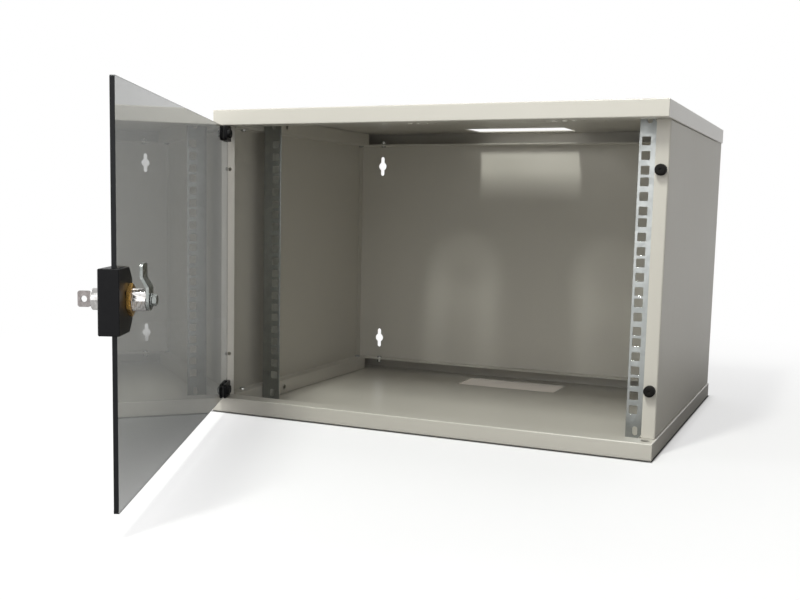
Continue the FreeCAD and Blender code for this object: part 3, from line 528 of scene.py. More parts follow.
def softened(node_mesh: bpy.types.Mesh, radius: float, shortest: float = 2.5 * MM,
             steps: int = 2) -> bpy.types.Mesh:
    """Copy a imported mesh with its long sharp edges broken, as sheet and moulded edges are.

    The broken edges' faces get the second material slot, and normals are weighted by area, so
    that the rounded edges leave the flat faces flat.

    Args:
        node_mesh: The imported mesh, which is left as it is.
        radius: Width taken off each edge.
        shortest: Edges shorter than this stay sharp.
        steps: Facets across each broken edge.

    Returns:
        The new mesh.
    """
    flat, sharp = math.radians(0.5), math.radians(50.0)
    bm = bmesh.new()
    bm.from_mesh(node_mesh)
    bmesh.ops.remove_doubles(bm, verts=bm.verts, dist=SAME_POINT)
    bmesh.ops.dissolve_limit(bm, angle_limit=flat, verts=bm.verts, edges=bm.edges)
    edges = [edge for edge in bm.edges if len(edge.link_faces) == 2 and edge.calc_length() > shortest
             and edge.calc_face_angle() > sharp]
    broken = bmesh.ops.bevel(bm, geom=edges, offset=radius, offset_type="OFFSET", segments=steps,
                             profile=0.5, affect="EDGES", clamp_overlap=False)
    for face in bm.faces:
        face.material_index = 0
    for face in broken["faces"]:
        face.material_index = 1
    bmesh.ops.remove_doubles(bm, verts=bm.verts, dist=SAME_POINT)
    smooth_by_angle(bm, 50.0)
    host = add_object("softened", emptied(bm, "softened"))
    host.modifiers.new("evened", "WEIGHTED_NORMAL").keep_sharp = True
    return baked(host)


def turned(profile: Sequence[tuple[float, float]], sides: int = 48) -> bpy.types.Mesh:
    """Turn a closed profile about +Z.

    Args:
        profile: (radius, height) points from the axis or bore round to the start.
        sides: Facets round the axis.

    Returns:
        A closed mesh, shaded smooth between sharp turns of the profile.
    """
    bm = bmesh.new()
    verts = [bm.verts.new((r, 0.0, z)) for r, z in profile]
    edges = [bm.edges.new((a, b)) for a, b in zip(verts, verts[1:] + verts[:1])]
    bmesh.ops.spin(bm, geom=verts + edges, cent=(0, 0, 0), axis=(0, 0, 1), angle=2 * math.pi,
                   steps=sides, use_duplicate=False)
    bmesh.ops.remove_doubles(bm, verts=bm.verts, dist=SEAM_GAP)
    bmesh.ops.dissolve_degenerate(bm, edges=bm.edges, dist=SAME_POINT)
    bmesh.ops.recalc_face_normals(bm, faces=bm.faces)
    smooth_by_angle(bm)
    return emptied(bm, "turned")


def joined(*meshes: bpy.types.Mesh) -> bpy.types.Mesh:
    """Several meshes as one, shading kept.

    Args:
        *meshes: The meshes.

    Returns:
        The whole.
    """
    bm = bmesh.new()
    for mesh in meshes:
        bm.from_mesh(mesh)
    return emptied(bm, "joined")


def placed(mesh: bpy.types.Mesh, place: Matrix) -> bpy.types.Mesh:
    """Move a mesh by a matrix.

    Args:
        mesh: The mesh, which is changed.
        place: The matrix.

    Returns:
        The same mesh.
    """
    mesh.transform(place)
    mesh.update()
    return mesh


def extent(points: Iterable[Vector], into: Matrix) -> Box:
    """Lowest and highest corner of points in other axes.

    Args:
        points: The points, in the frame's axes.
        into: Takes a point into the other axes.

    Returns:
        The two corners, in those axes.
    """
    places = [into @ point for point in points]
    low = Vector(min(p[i] for p in places) for i in range(3))
    high = Vector(max(p[i] for p in places) for i in range(3))
    return low, high


def islands(node_mesh: bpy.types.Mesh) -> list[list[Vector]]:
    """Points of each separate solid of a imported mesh.

    Args:
        node_mesh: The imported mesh, which is left as it is.

    Returns:
        One list of points for each solid.
    """
    bm = bmesh.new()
    bm.from_mesh(node_mesh)
    bmesh.ops.remove_doubles(bm, verts=bm.verts, dist=SAME_POINT)
    found, seen = [], set()
    for start in bm.verts:
        if start in seen:
            continue
        seen.add(start)
        group, front = [], [start]
        while front:
            vertex = front.pop()
            group.append(vertex.co.copy())
            near = {edge.other_vert(vertex) for edge in vertex.link_edges} - seen
            seen |= near
            front.extend(near)
        found.append(group)
    bm.free()
    return found


def seats_of(node_mesh: bpy.types.Mesh, way: Vector, above: float) -> list[Seat]:
    """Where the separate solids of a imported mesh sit.

    Args:
        node_mesh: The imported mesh.
        way: The direction in which they point.
        above: How far each one stands above its seat.

    Returns:
        One seat for each solid: its place and the direction.
    """
    lay = laid(way)
    seats = []
    for group in islands(node_mesh):
        low, high = extent(group, lay.transposed())
        middle = (low + high) / 2
        seats.append((lay @ Vector((middle.x, middle.y, high.z - above)), way))
    return seats


@dataclass
class Workshop:
    """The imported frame, and the one way in which a finished piece joins it."""

    frame: dict[str, Any]

    def node(self, name: str) -> bpy.types.Mesh:
        """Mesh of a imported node."""
        return self.frame["nodes"][name].data

    def joint(self, name: str) -> dict[str, Any]:
        """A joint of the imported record."""
        return next(joint for joint in self.frame["joints"] if joint["name"] == name)

    @property
    def inward(self) -> Vector:
        """Direction out of the door's inner face, which is the lock's axis."""
        return Vector(self.joint("lock_turn")["axis"]).normalized()

    @property
    def door(self) -> Matrix:
        """The door's own axes: along the door, out of its inner face, and up, from the hinge line.

        Returns:
            Takes a point from those axes into the frame's.
        """
        hinge = self.joint("door_hinge")
        up = Vector(hinge["axis"]).normalized()
        along = self.inward.cross(up).normalized()
        turn = Matrix((along, self.inward, up)).transposed().to_4x4()
        return Matrix.Translation(Vector(hinge["pos_m"])) @ turn

    def body(self, node: str) -> str:
        """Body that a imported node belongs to."""
        bodies = self.frame["record"]["behaviour"]["bodies"]
        return next(body for body, nodes in bodies.items() if node in nodes)

    def fit(self, name: str, mesh: bpy.types.Mesh, finish: Finish, node: str,
            *others: Finish) -> bpy.types.Object:
        """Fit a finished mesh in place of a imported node.

        Args:
            name: The piece's name.
            mesh: Its mesh, in place in the frame.
            finish: Its main finish.
            node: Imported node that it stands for; it moves with that node's body.
            *others: Finishes of further material slots, in order.

        Returns:
            The piece.
        """
        mesh.name = name
        slots = [face.material_index if others else 0 for face in mesh.polygons]
        mesh.materials.clear()
        for one in (finish, *others):
            mesh.materials.append(one.material())
        mesh.polygons.foreach_set("material_index", slots)
        piece = add_object(name, mesh)
        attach(piece, self.body(node))
        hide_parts(node)
        LOG.info("%s: %d faces, rides on %s", name, len(mesh.polygons), self.body(node))
        return piece

    def soften(self, word: str, node: str, finish: Finish, radius: float, **how: Any) -> None:
        """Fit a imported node's own shape with its edges broken."""
        self.fit(f"{word}_{node}", softened(self.node(node), radius, **how), finish, node)

    def seat(self, name: str, piece: "Repeated", finish: Finish, node: str, *ways: Vector,
             seed: int = 1) -> None:
        """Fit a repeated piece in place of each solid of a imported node.

        Args:
            name: Name of them all.
            piece: The piece.
            finish: Its finish.
            node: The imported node.
            *ways: The direction in which it points, or those for the left and the right half.
            seed: Fixes the chance angles.
        """
        seats = [seat for side, way in zip((-1, 1), ways)
                 for seat in seats_of(self.node(node), way, piece.height)
                 if len(ways) == 1 or seat[0].x * side > 0]
        self.fit(name, piece.mesh(seats, finish, seed), finish, node)

    def dress(self, finish: Finish, *nodes: str) -> None:
        """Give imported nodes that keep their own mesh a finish.

        Args:
            finish: The finish.
            *nodes: The nodes.
        """
        for name in nodes:
            mesh = self.node(name)
            mesh.materials.clear()
            mesh.materials.append(finish.material())
            LOG.info("%s: kept as packed", name)


# ---------------------------------------- repeated pieces, by geometry nodes


class GeoTree(Tree):
    """A geometry tree with named sizes, which ends in real faces with a material."""

    def __init__(self, name: str, sizes: Sequence[str]) -> None:
        """Make the group with its inputs and its output.

        Args:
            name: The group's name.
            sizes: Names of its sizes.
        """
        group = bpy.data.node_groups.new(name, "GeometryNodeTree")
        group.is_modifier = True
        super().__init__(group)
        kinds = {"Seats": "Geometry", "Material": "Material", "Seed": "Int"} | dict.fromkeys(sizes, "Float")
        for title, kind in kinds.items():
            group.interface.new_socket(title, in_out="INPUT", socket_type="NodeSocket" + kind)
        group.interface.new_socket("Pieces", in_out="OUTPUT", socket_type="NodeSocketGeometry")
        self.entry = group.nodes.new("NodeGroupInput")

    def given(self, title: str) -> Sock:
        """A value that comes into the tree."""
        return Sock(self, self.entry.outputs[title])

    def vector(self, x: Value = 0.0, y: Value = 0.0, z: Value = 0.0) -> Sock:
        """Vector of three values."""
        return self.add("ShaderNodeCombineXYZ", {0: x, 1: y, 2: z})

    def moved(self, geometry: Sock, x: Value = 0.0, y: Value = 0.0, z: Value = 0.0,
              turn: Triple = (0.0, 0.0, 0.0)) -> Sock:
        """Geometry turned, then moved."""
        return self.add("GeometryNodeTransform", {"Geometry": geometry, "Translation": self.vector(x, y, z),
                                                  "Rotation": turn})

    def joined(self, *parts: Sock) -> Sock:
        """Several geometries as one."""
        return self.add("GeometryNodeJoinGeometry", {0: list(parts)})

    def merged(self, geometry: Sock) -> Sock:
        """Geometry with its seams and poles closed."""
        return self.add("GeometryNodeMergeByDistance", {"Geometry": geometry, "Distance": SEAM_GAP})

    def minus(self, body: Sock, tool: Sock) -> Sock:
        """Body with a tool cut out of it."""
        return self.add("GeometryNodeMeshBoolean", {"Mesh 1": body, "Mesh 2": [tool]},
                        operation="DIFFERENCE", solver="EXACT")

    def block(self, x: Value, y: Value, z: Value) -> Sock:
        """Block about the origin."""
        return self.add("GeometryNodeMeshCube", {"Size": self.vector(x, y, z)})

    def rod(self, radius: Value, length: Value, sides: int = 32) -> Sock:
        """Cylinder about the origin, along Z."""
        return self.add("GeometryNodeMeshCylinder", {"Vertices": sides, "Radius": radius, "Depth": length})

    def shank(self, radius: Sock, length: Sock) -> Sock:
        """Cylinder down from the origin."""
        return self.moved(self.rod(radius, length, 20), z=length * -0.5)

    def prism(self, outline: Sock, height: Value) -> Sock:
        """Raise a solid over a closed curve on Z = 0.

        Args:
            outline: The curve.
            height: The solid's height.

        Returns:
            The solid.
        """
        flat = self.add("GeometryNodeFillCurve", {"Curve": outline}, mode="NGONS")
        raised = self.add("GeometryNodeExtrudeMesh", {"Mesh": flat, "Offset": self.vector(z=height),
                                                      "Offset Scale": 1.0, "Individual": False},
                          mode="FACES")
        under = self.add("GeometryNodeFlipFaces", {"Mesh": flat})
        return self.merged(self.joined(raised, under))

    def rows(self, rows: int, sides: int) -> tuple[Sock, Sock, Sock]:
        """Start a surface about Z as a grid of points, from its lower pole to its upper one.

        Args:
            rows: Rows of points.
            sides: Facets round the axis.

        Returns:
            The grid, and each point's row number and angle.
        """
        grid = self.add("GeometryNodeMeshGrid", {"Size X": 1.0, "Size Y": 1.0,
                                                 "Vertices X": sides + 1, "Vertices Y": rows})
        place = self.add("GeometryNodeInputPosition")
        x, y = (self.add("ShaderNodeSeparateXYZ", {0: place}, axis) for axis in range(2))
        return grid, ((y + 0.5) * (rows - 1)).op("ROUND"), (x + 0.5) * (2 * math.pi)

    def lathe(self, grid: Sock, angle: Sock, radius: Sock, height: Sock) -> Sock:
        """The grid with each point at its angle, radius and height."""
        target = self.vector(radius * angle.op("COSINE"), radius * angle.op("SINE"), height)
        return self.merged(self.add("GeometryNodeSetPosition", {"Geometry": grid, "Position": target}))

    def close(self, piece: Sock, by_chance: bool) -> None:
        """Put the piece on every seat, make it real, give it the material and end the tree.

        Args:
            piece: The piece, pointing up.
            by_chance: Whether each is turned about its own axis by a chance angle.
        """
        facing = self.add("GeometryNodeInputNamedAttribute", {"Name": "facing"}, data_type="FLOAT_VECTOR")
        lay = self.add("FunctionNodeAlignRotationToVector", {"Vector": facing}, axis="Z")
        chance = self.add("FunctionNodeRandomValue", {2: 0.0, 3: math.pi * by_chance,
                                                      "Seed": self.given("Seed")}, 1, data_type="FLOAT")
        spin = self.add("FunctionNodeAxisAngleToRotation", {"Axis": (0.0, 0.0, 1.0), "Angle": chance})
        lay = self.add("FunctionNodeRotateRotation", {0: lay, 1: spin}, rotation_space="LOCAL")
        pieces = self.add("GeometryNodeInstanceOnPoints", {"Points": self.given("Seats"), "Instance": piece,
                                                           "Rotation": lay})
        real = self.add("GeometryNodeRealizeInstances", {"Geometry": pieces})
        made = self.add("GeometryNodeSetMaterial", {"Geometry": real, "Material": self.given("Material")})
        self.add("NodeGroupOutput", {0: made})


@dataclass
class Repeated:
    """A piece made by a geometry tree. Its fields, in metres, are the tree's named sizes."""

    turned_by_chance: ClassVar[bool] = True

    def shape(self, tree: GeoTree, size: SimpleNamespace) -> Sock:
        """One piece on its seat at the origin, pointing up +Z."""
        raise NotImplementedError

    def mesh(self, seats: Sequence[Seat], finish: Finish, seed: int = 1) -> bpy.types.Mesh:
        """Make the piece on every seat.

        Args:
            seats: Places and directions.
            finish: The pieces' finish.
            seed: Fixes the chance angles.

        Returns:
            One mesh with all of them, shaded smooth between creases.
        """
        titles = {name: name.replace("_", " ").title() for name in vars(self)}
        tree = GeoTree(type(self).__name__, list(titles.values()))
        size = SimpleNamespace(**{name: tree.given(title) for name, title in titles.items()})
        tree.close(self.shape(tree, size), self.turned_by_chance)
        values = {titles[name]: value for name, value in vars(self).items()}
        values |= {"Seed": seed, "Material": finish.material()}
        spots = bpy.data.meshes.new("seats")
        spots.from_pydata([tuple(place) for place, _ in seats], [], [])
        facing = spots.attributes.new("facing", "FLOAT_VECTOR", "POINT")
        for spot, (_, way) in zip(facing.data, seats):
            spot.vector = way
        host = add_object("seats", spots)
        modifier = host.modifiers.new("pieces", "NODES")
        modifier.node_group = tree.nodes
        for item in tree.nodes.interface.items_tree:
            if item.name in values:
                modifier[item.identifier] = values[item.name]
        bm = bmesh.new()
        bm.from_mesh(baked(host))
        bmesh.ops.recalc_face_normals(bm, faces=bm.faces)
        smooth_by_angle(bm)
        return emptied(bm, "repeated")


@dataclass
class PanScrew(Repeated):
    """Domed screw with a cross recess. Its seat is under the head."""

    height: float
    head_radius: float
    shank_radius: float
    shank_length: float
    recess_width: float
    recess_reach: float
    recess_depth: float

    def shape(self, tree: GeoTree, size: SimpleNamespace) -> Sock:
        """Head with a flat underside and a superellipse up to the crown, recess and shank.

        Args:
            tree: The tree to build in.
            size: Its named sizes.

        Returns:
            One screw.
        """
        rows, sides, fullness, rise = 12, 32, 0.42, 0.9
        grid, row, angle = tree.rows(rows, sides)
        turn = (row - 1.0).held(0.0) * (QUARTER / (rows - 2))
        outward = turn.op("COSINE").held(0.0) ** fullness
        lift = turn.op("SINE").held(0.0) ** rise
        head = tree.lathe(grid, angle, size.head_radius * outward * row.op("MINIMUM", 1.0),
                          size.height * lift)
        for x, y in ((size.recess_reach * 2, size.recess_width), (size.recess_width, size.recess_reach * 2)):
            head = tree.minus(head, tree.moved(tree.block(x, y, size.recess_depth * 2), z=size.height))
        return tree.joined(head, tree.shank(size.shank_radius, size.shank_length))


@dataclass
class KnobScrew(Repeated):
    """Fluted knob-headed clamp screw with a driver slot. Its seat is under the knob."""

    height: float = 3.5 * MM
    knob_radius: float = 4.9 * MM
    flute_depth: float = 0.35 * MM
    slot_width: float = 0.9 * MM
    slot_depth: float = 1.0 * MM
    stem_radius: float = 2.5 * MM
    stem_length: float = 9.3 * MM

    def shape(self, tree: GeoTree, size: SimpleNamespace) -> Sock:
        """Knob with a fluted wall, a rounded shoulder and a slightly domed face, slot and stem.

        Args:
            tree: The tree to build in.
            size: Its named sizes.

        Returns:
            One screw.
        """
        rows, flutes, wall, fullness = 12, 16, 0.55, 0.3
        grid, row, angle = tree.rows(rows, flutes * 6)
        turn = (row - 2.0).held(0.0) * (QUARTER / (rows - 3))
        outward = turn.op("COSINE").held(0.0) ** fullness
        wave = (angle * flutes).op("COSINE") * 0.5 + 0.5
        radius = (size.knob_radius - size.flute_depth * wave) * outward * row.op("MINIMUM", 1.0)
        lift = (row - 1.0).held(0.0, 1.0) * wall + turn.op("SINE").held(0.0) * (1.0 - wall)
        knob = tree.lathe(grid, angle, radius, size.height * lift)
        slot = tree.block(size.knob_radius * 3, size.slot_width, size.slot_depth * 2)
        return tree.joined(tree.minus(knob, tree.moved(slot, z=size.height)),
                           tree.shank(size.stem_radius, size.stem_length))


@dataclass
class HexPiece(Repeated):
    """Chamfered hexagon, bored through. Its seat is under it."""

    height: float
    across_flats: float
    bore_radius: float
    chamfer: float

    def shape(self, tree: GeoTree, size: SimpleNamespace) -> Sock:
        """Rows from the bore, round a hexagon cut by a cone at both ends, and back down the bore.

        Args:
            tree: The tree to build in.
            size: Its named sizes.

        Returns:
            One hexagon.
        """
        rows, sides, steps, sixth = 13, 72, 4, math.pi / 3
        cone_start, cone_rise = 0.96, 0.2
        grid, row, angle = tree.rows(rows, sides)
        within = (angle + sixth / 2) % sixth - sixth / 2
        flat = size.across_flats * 0.5
        low = ((row - 1.0) / steps).held(0.0, 1.0)
        high = ((row - (rows - 3 - steps)) / steps).held(0.0, 1.0)
        cone = flat * cone_start + flat * cone_rise * (low - high)
        at_bore = (row < 0.5) + (row > rows - 2.5)
        outside = (flat / within.op("COSINE")).op("MINIMUM", cone)
        radius = outside * (1.0 - at_bore) + size.bore_radius * at_bore
        wall = (size.height - size.chamfer * 2) * (row > steps + 1.5)
        rise = size.chamfer * low + wall + size.chamfer * high
        return tree.lathe(grid, angle, radius, rise * (row < rows - 1.5))


@dataclass
class ThreadedBarrel(Repeated):
    """Threaded lock barrel with a head, a flange, two flats and a bore. Its seat is at its outer end."""

    height: float
    radius: float = 9.0 * MM
    head_radius: float = 8.6 * MM
    head_height: float = 9.5 * MM
    flange_radius: float = 11.0 * MM
    flange_height: float = 2.0 * MM
    edge: float = 0.8 * MM
    pitch: float = 1.0 * MM
    thread_depth: float = 0.35 * MM
    flats: float = 16.0 * MM
    bore_radius: float = 6.1 * MM
    turned_by_chance = False

    def shape(self, tree: GeoTree, size: SimpleNamespace) -> Sock:
        """Head, flange and a thread that dips once per pitch along a helix, then flats and bore.

        Each collar has six rows round its outer edge and one at its back.

        Args:
            tree: The tree to build in.
            size: Its named sizes.

        Returns:
            The barrel.
        """
        rows, sides, head_row, flange_row, thread_row, rounding = 196, 48, 1, 9, 17, 6
        grid, row, angle = tree.rows(rows, sides)
        foot = size.head_height + size.flange_height
        collars = []
        for first, reach, low, high in ((head_row, size.head_radius, 0.0, size.head_height),
                                        (flange_row, size.flange_radius, size.head_height, foot)):
            turn = ((row - first) / rounding).held(0.0, 1.0) * QUARTER
            at_back = row > first + rounding + 0.5
            rise = size.edge * (1.0 - turn.op("COSINE")) + low
            collars.append((reach - size.edge * (1.0 - turn.op("SINE")),
                            rise * (1.0 - at_back) + high * at_back))
        along = ((row - thread_row) / (rows - thread_row - 2)).held(0.0, 1.0)
        rise = foot + (size.height - foot) * along
        dip = (((rise / size.pitch - angle / (2 * math.pi)) % 1.0) * 2 - 1.0).op("ABSOLUTE")
        lead = (rise - size.height + size.thread_depth * 2).held(0.0)
        thread = (size.radius - size.thread_depth * dip - lead, rise)
        on_rim, on_thread = row > flange_row - 0.5, row > thread_row - 0.5
        radius, level = (head * (1.0 - on_rim) + rim * (on_rim - on_thread) + screw * on_thread
                         for head, rim, screw in zip(*collars, thread))
        body = tree.lathe(grid, angle, radius * ((row > 0.5) * (row < rows - 1.5)), level)
        for side in (-0.5, 0.5):
            flat = tree.block(size.radius * 4, size.radius, size.height)
            body = tree.minus(body, tree.moved(flat, y=(size.flats + size.radius) * side,
                                               z=foot + size.height * 0.5))
        return tree.minus(body, tree.rod(size.bore_radius, size.height * 3, 40))


@dataclass
class PunchedRail(Repeated):
    """L rail with square holes in every unit and an oblong slot at each end.

    Its seat is the lower end of its front's inner edge; the front faces -Y and the side runs to +Y.
    """

    height: float = 368.0 * MM
    face: float = 26.0 * MM
    side: float = 40.0 * MM
    sheet: float = 1.5 * MM
    bend_inside: float = 1.5 * MM
    hole: float = 9.5 * MM
    hole_round: float = 1.0 * MM
    hole_in: float = 7.55 * MM
    first_hole: float = 34.775 * MM
    unit: float = 44.45 * MM
    step: float = 15.875 * MM
    slot_width: float = 5.8 * MM
    slot_height: float = 10.4 * MM
    slot_in: float = 10.5 * MM
    slot_rise: float = 10.7 * MM
    bolt_radius: float = 3.3 * MM
    bolt_back: float = 12.5 * MM
    bolt_rise: float = 7.8 * MM
    turned_by_chance = False
    holes = 21

    def shape(self, tree: GeoTree, size: SimpleNamespace) -> Sock:
        """Bent section, punched.

        Args:
            tree: The tree to build in.
            size: Its named sizes.

        Returns:
            The rail.
        """
        place = tree.add("GeometryNodeInputIndex")

        def among(first: int, last: int) -> Sock:
            """One where the point's number lies between two others."""
            return (place > first - 0.5) * (place < last + 0.5)

        inner = size.face - size.sheet
        corner = tree.vector(size.face * among(1, 2) + inner * among(3, 4),
                             size.side * among(2, 3) + size.sheet * among(4, 5))
        line = tree.add("GeometryNodeMeshLine", {"Count": 6})
        line = tree.add("GeometryNodeSetPosition", {"Geometry": line, "Position": corner})
        curve = tree.add("GeometryNodeMeshToCurve", {"Mesh": line})
        curve = tree.add("GeometryNodeSetSplineCyclic", {"Geometry": curve, "Cyclic": True})
        bend = (size.bend_inside + size.sheet) * among(1, 1) + size.bend_inside * among(4, 4)
        curve = tree.add("GeometryNodeFilletCurve", {"Curve": curve, "Count": 6, "Radius": bend}, mode="POLY")
        rail = tree.prism(curve, size.height)

        unit = (place / 3.0 + 0.01).op("FLOOR")
        level = size.first_hole + size.unit * unit + size.step * (place - unit * 3)
        spots = tree.add("GeometryNodeMeshLine", {"Count": self.holes})
        spots = tree.add("GeometryNodeSetPosition",
                         {"Geometry": spots, "Position": tree.vector(size.hole_in, 0.0, level)})
        punch = self._punch(tree, size, (size.hole, size.hole, size.hole_round), 4)
        punches = tree.add("GeometryNodeInstanceOnPoints", {"Points": spots, "Instance": punch})
        rail = tree.minus(rail, tree.add("GeometryNodeRealizeInstances", {"Geometry": punches}))

        oblong = self._punch(tree, size, (size.slot_width, size.slot_height, size.slot_width * 0.499), 8)
        bolt = tree.rod(size.bolt_radius, size.sheet * 6)
        for slot_at, bolt_at in ((size.slot_rise, size.bolt_rise),
                                 (size.height - size.slot_rise, size.height - size.bolt_rise)):
            rail = tree.minus(rail, tree.moved(oblong, size.slot_in, z=slot_at))
            rail = tree.minus(rail, tree.moved(bolt, size.face, size.bolt_back, bolt_at, (0.0, QUARTER, 0.0)))
        return rail

    @staticmethod
    def _punch(tree: GeoTree, size: SimpleNamespace, sides: tuple[Sock, Sock, Sock], steps: int) -> Sock:
        """Tool that cuts a rectangle with rounded corners through the rail's front.

        Args:
            tree: The tree to build in.
            size: Its named sizes.
            sides: The rectangle's width, height and corner radius.
            steps: Facets round each corner.

        Returns:
            The tool.
        """
        width, height, corner = sides
        outline = tree.add("GeometryNodeCurvePrimitiveQuadrilateral", {"Width": width, "Height": height},
                           mode="RECTANGLE")
        outline = tree.add("GeometryNodeFilletCurve", {"Curve": outline, "Count": steps, "Radius": corner},
                           mode="POLY")
        return tree.moved(tree.prism(outline, size.sheet * 4), y=size.sheet * 2.5, turn=(QUARTER, 0.0, 0.0))


# ---------------------------------------- sub-assemblies


@dataclass
class CabinetShell:
    """Folded trays, side panels and back panel in powder-coated sheet."""

    shop: Workshop
    tray_edge: float = 0.5 * MM
    panel_edge: float = 0.28 * MM

    def build(self) -> None:
        """Fit the five sheet pieces."""
        for name in ("bottom_pan", "top_cover"):
            self.shop.soften("painted", name, Finish.TRAY, self.tray_edge)
        for name in ("left_side_panel", "right_side_panel", "back_panel"):
            self.shop.soften("painted", name, Finish.PAINT, self.panel_edge)


@dataclass
class RackRails:
    """The two punched rack rails with their screws and nuts."""

    shop: Workshop
    section: PunchedRail
    screw: PanScrew
    nut: HexPiece
    edge: float = 0.25 * MM
    shortest: float = 1.5 * MM

    def build(self) -> None:
        """Fit the rails, the left one turned end for end, and what holds them."""
        for name, turn in (("right_rack_rail", 0.0), ("left_rack_rail", math.pi)):
            low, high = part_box(name)
            foot = high if turn else low
            punched = self.section.mesh([(Vector(), Axis.UP.way)], Finish.RAIL)
            mesh = softened(punched, self.edge, self.shortest)
            place = Matrix.Translation((foot.x, low.y, foot.z)) @ Matrix.Rotation(turn, 4, "Y")
            self.shop.fit("punched_" + name, placed(mesh, place), Finish.RAIL, name, Finish.RIM)
        right, left = Axis.RIGHT.way, Axis.LEFT.way
        self.shop.seat("rail_pan_screws", self.screw, Finish.SCREW, "rail_screws", right, left, seed=11)
        self.shop.seat("rail_hex_nuts", self.nut, Finish.SCREW, "rail_nuts", left, right, seed=12)


@dataclass
class PanelFasteners:
    """Screws that hold the panels to the trays, and the clinch nuts that take them."""

    shop: Workshop
    screw: PanScrew

    def build(self) -> None:
        """Fit the screws and dress the clinch nuts."""
        for seed, (name, axis) in enumerate((("pan_screws", Axis.UP), ("cover_screws", Axis.DOWN)), 21):
            self.shop.seat("recessed_" + name, self.screw, Finish.SCREW, name, axis.way, seed=seed)
        self.shop.dress(Finish.SCREW, "pan_nuts", "cover_nuts")


@dataclass
class DoorBumpers:
    """Rubber bumpers on the free side's stile."""

    shop: Workshop
    radius: float = 6.0 * MM
    height: float = 8.0 * MM
    round: float = 1.8 * MM
    crown: float = 0.25 * MM
    foot: tuple[float, float] = (0.3 * MM, 0.35 * MM)
    dimple: float = 1.6 * MM
    dimple_depth: float = 0.9 * MM
    stem: float = 2.4 * MM
    barb: float = 3.4 * MM
    tip: float = 1.92 * MM
    sheet: float = 1.0 * MM
    play: float = 0.1 * MM
    lift: float = 0.02 * MM

    def build(self) -> None:
        """Fit both bumpers."""
        for name in ("lower_bumper", "upper_bumper"):
            low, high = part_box(name)
            seat = low.y + self.height
            place = Matrix.Translation(((low.x + high.x) / 2, seat, (low.z + high.z) / 2))
            mesh = turned(self._profile(seat - high.y), 40)
            self.shop.fit("moulded_" + name, placed(mesh, place @ laid(Axis.FRONT.way)), Finish.RUBBER, name)

    def _profile(self, end: float) -> list[tuple[float, float]]:
        """Outline of a bumper.

        Args:
            end: Height of the barb's tip, below the head's seat at zero.

        Returns:
            Points from the barb's tip, round the head, to its dimple.
        """
        arcs = [math.radians(15 * i) for i in range(7)]
        shoulder = [(self.radius - self.round + self.round * math.cos(a) - self.crown * math.sin(a),
                     self.height - self.round + self.round * math.sin(a)) for a in arcs]
        dimple = [(self.dimple * math.cos(a), self.height - self.dimple_depth * math.sin(a)) for a in arcs]
        neck = -self.sheet - self.play
        return [(0.0, end), (self.tip, end), (self.barb, neck), (self.stem, neck), (self.stem, self.lift),
                (self.radius - self.foot[0], self.lift), (self.radius, self.foot[1]), *shoulder,
                *dimple[:-1], (0.0, dimple[-1][1])]


@dataclass
class PivotBushes:
    """Flanged plastic bushes in which the door's pins turn."""

    shop: Workshop
    radius: float = 4.7 * MM
    flange: float = 6.0 * MM
    flange_height: float = 1.0 * MM
    bore: float = 2.55 * MM
    edge: float = 0.3 * MM

    def build(self) -> None:
        """Fit both bushes, flange towards the door."""
        for name, axis in (("lower_pivot_bush", Axis.UP), ("upper_pivot_bush", Axis.DOWN)):
            low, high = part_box(name)
            length = high.z - low.z
            foot = low.z if axis is Axis.UP else high.z
            profile = [(self.bore, 0.0), (self.radius - self.edge, 0.0), (self.radius, self.edge),
                       (self.radius, length - self.flange_height),
                       (self.flange, length - self.flange_height), (self.flange, length - self.edge),
                       (self.flange - self.edge, length), (self.bore + self.edge, length),
                       (self.bore, length - self.edge)]
            place = Matrix.Translation(((low.x + high.x) / 2, (low.y + high.y) / 2, foot)) @ laid(axis.way)
            self.shop.fit("moulded_" + name, placed(turned(profile), place), Finish.BUSH, name)


@dataclass
class HingeClamps:
    """Moulded clamps that hold the glass, with pads, pins and knob screws."""

    shop: Workshop
    knob: KnobScrew
    moulded_edge: float = 0.6 * MM
    pin_edge: float = 0.2 * MM
    pad_edge: float = 0.12 * MM

    def build(self) -> None:
        """Fit both clamps and what they hold."""
        for seed, side in enumerate(("lower", "upper"), 31):
            self.shop.soften("moulded", side + "_hinge_clamp", Finish.CLAMP, self.moulded_edge, steps=3)
            self.shop.soften("turned", side + "_hinge_pin", Finish.SCREW, self.pin_edge)
            self.shop.soften("soft", side + "_clamp_pads", Finish.PAD, self.pad_edge)
            self.shop.seat(f"fluted_{side}_clamp_screws", self.knob, Finish.CLAMP, side + "_clamp_screws",
                           self.shop.inward, seed=seed)


@dataclass
class TintedPane:
    """The frameless glass door with its ground edges."""

    shop: Workshop
    edge: float = 0.35 * MM
    shortest: float = 1.2 * MM
    flatness: float = 0.97

    def build(self) -> None:
        """Fit the pane, with the edge's finish on all but its two large faces."""
        inward = self.shop.inward
        mesh = softened(self.shop.node("door_glass"), self.edge, self.shortest)
        pane = self.shop.fit("tinted_door_pane", mesh, Finish.GLASS, "door_glass", Finish.EDGE)
        for face in pane.data.polygons:
            face.material_index = 0 if abs(face.normal.dot(inward)) > self.flatness else 1


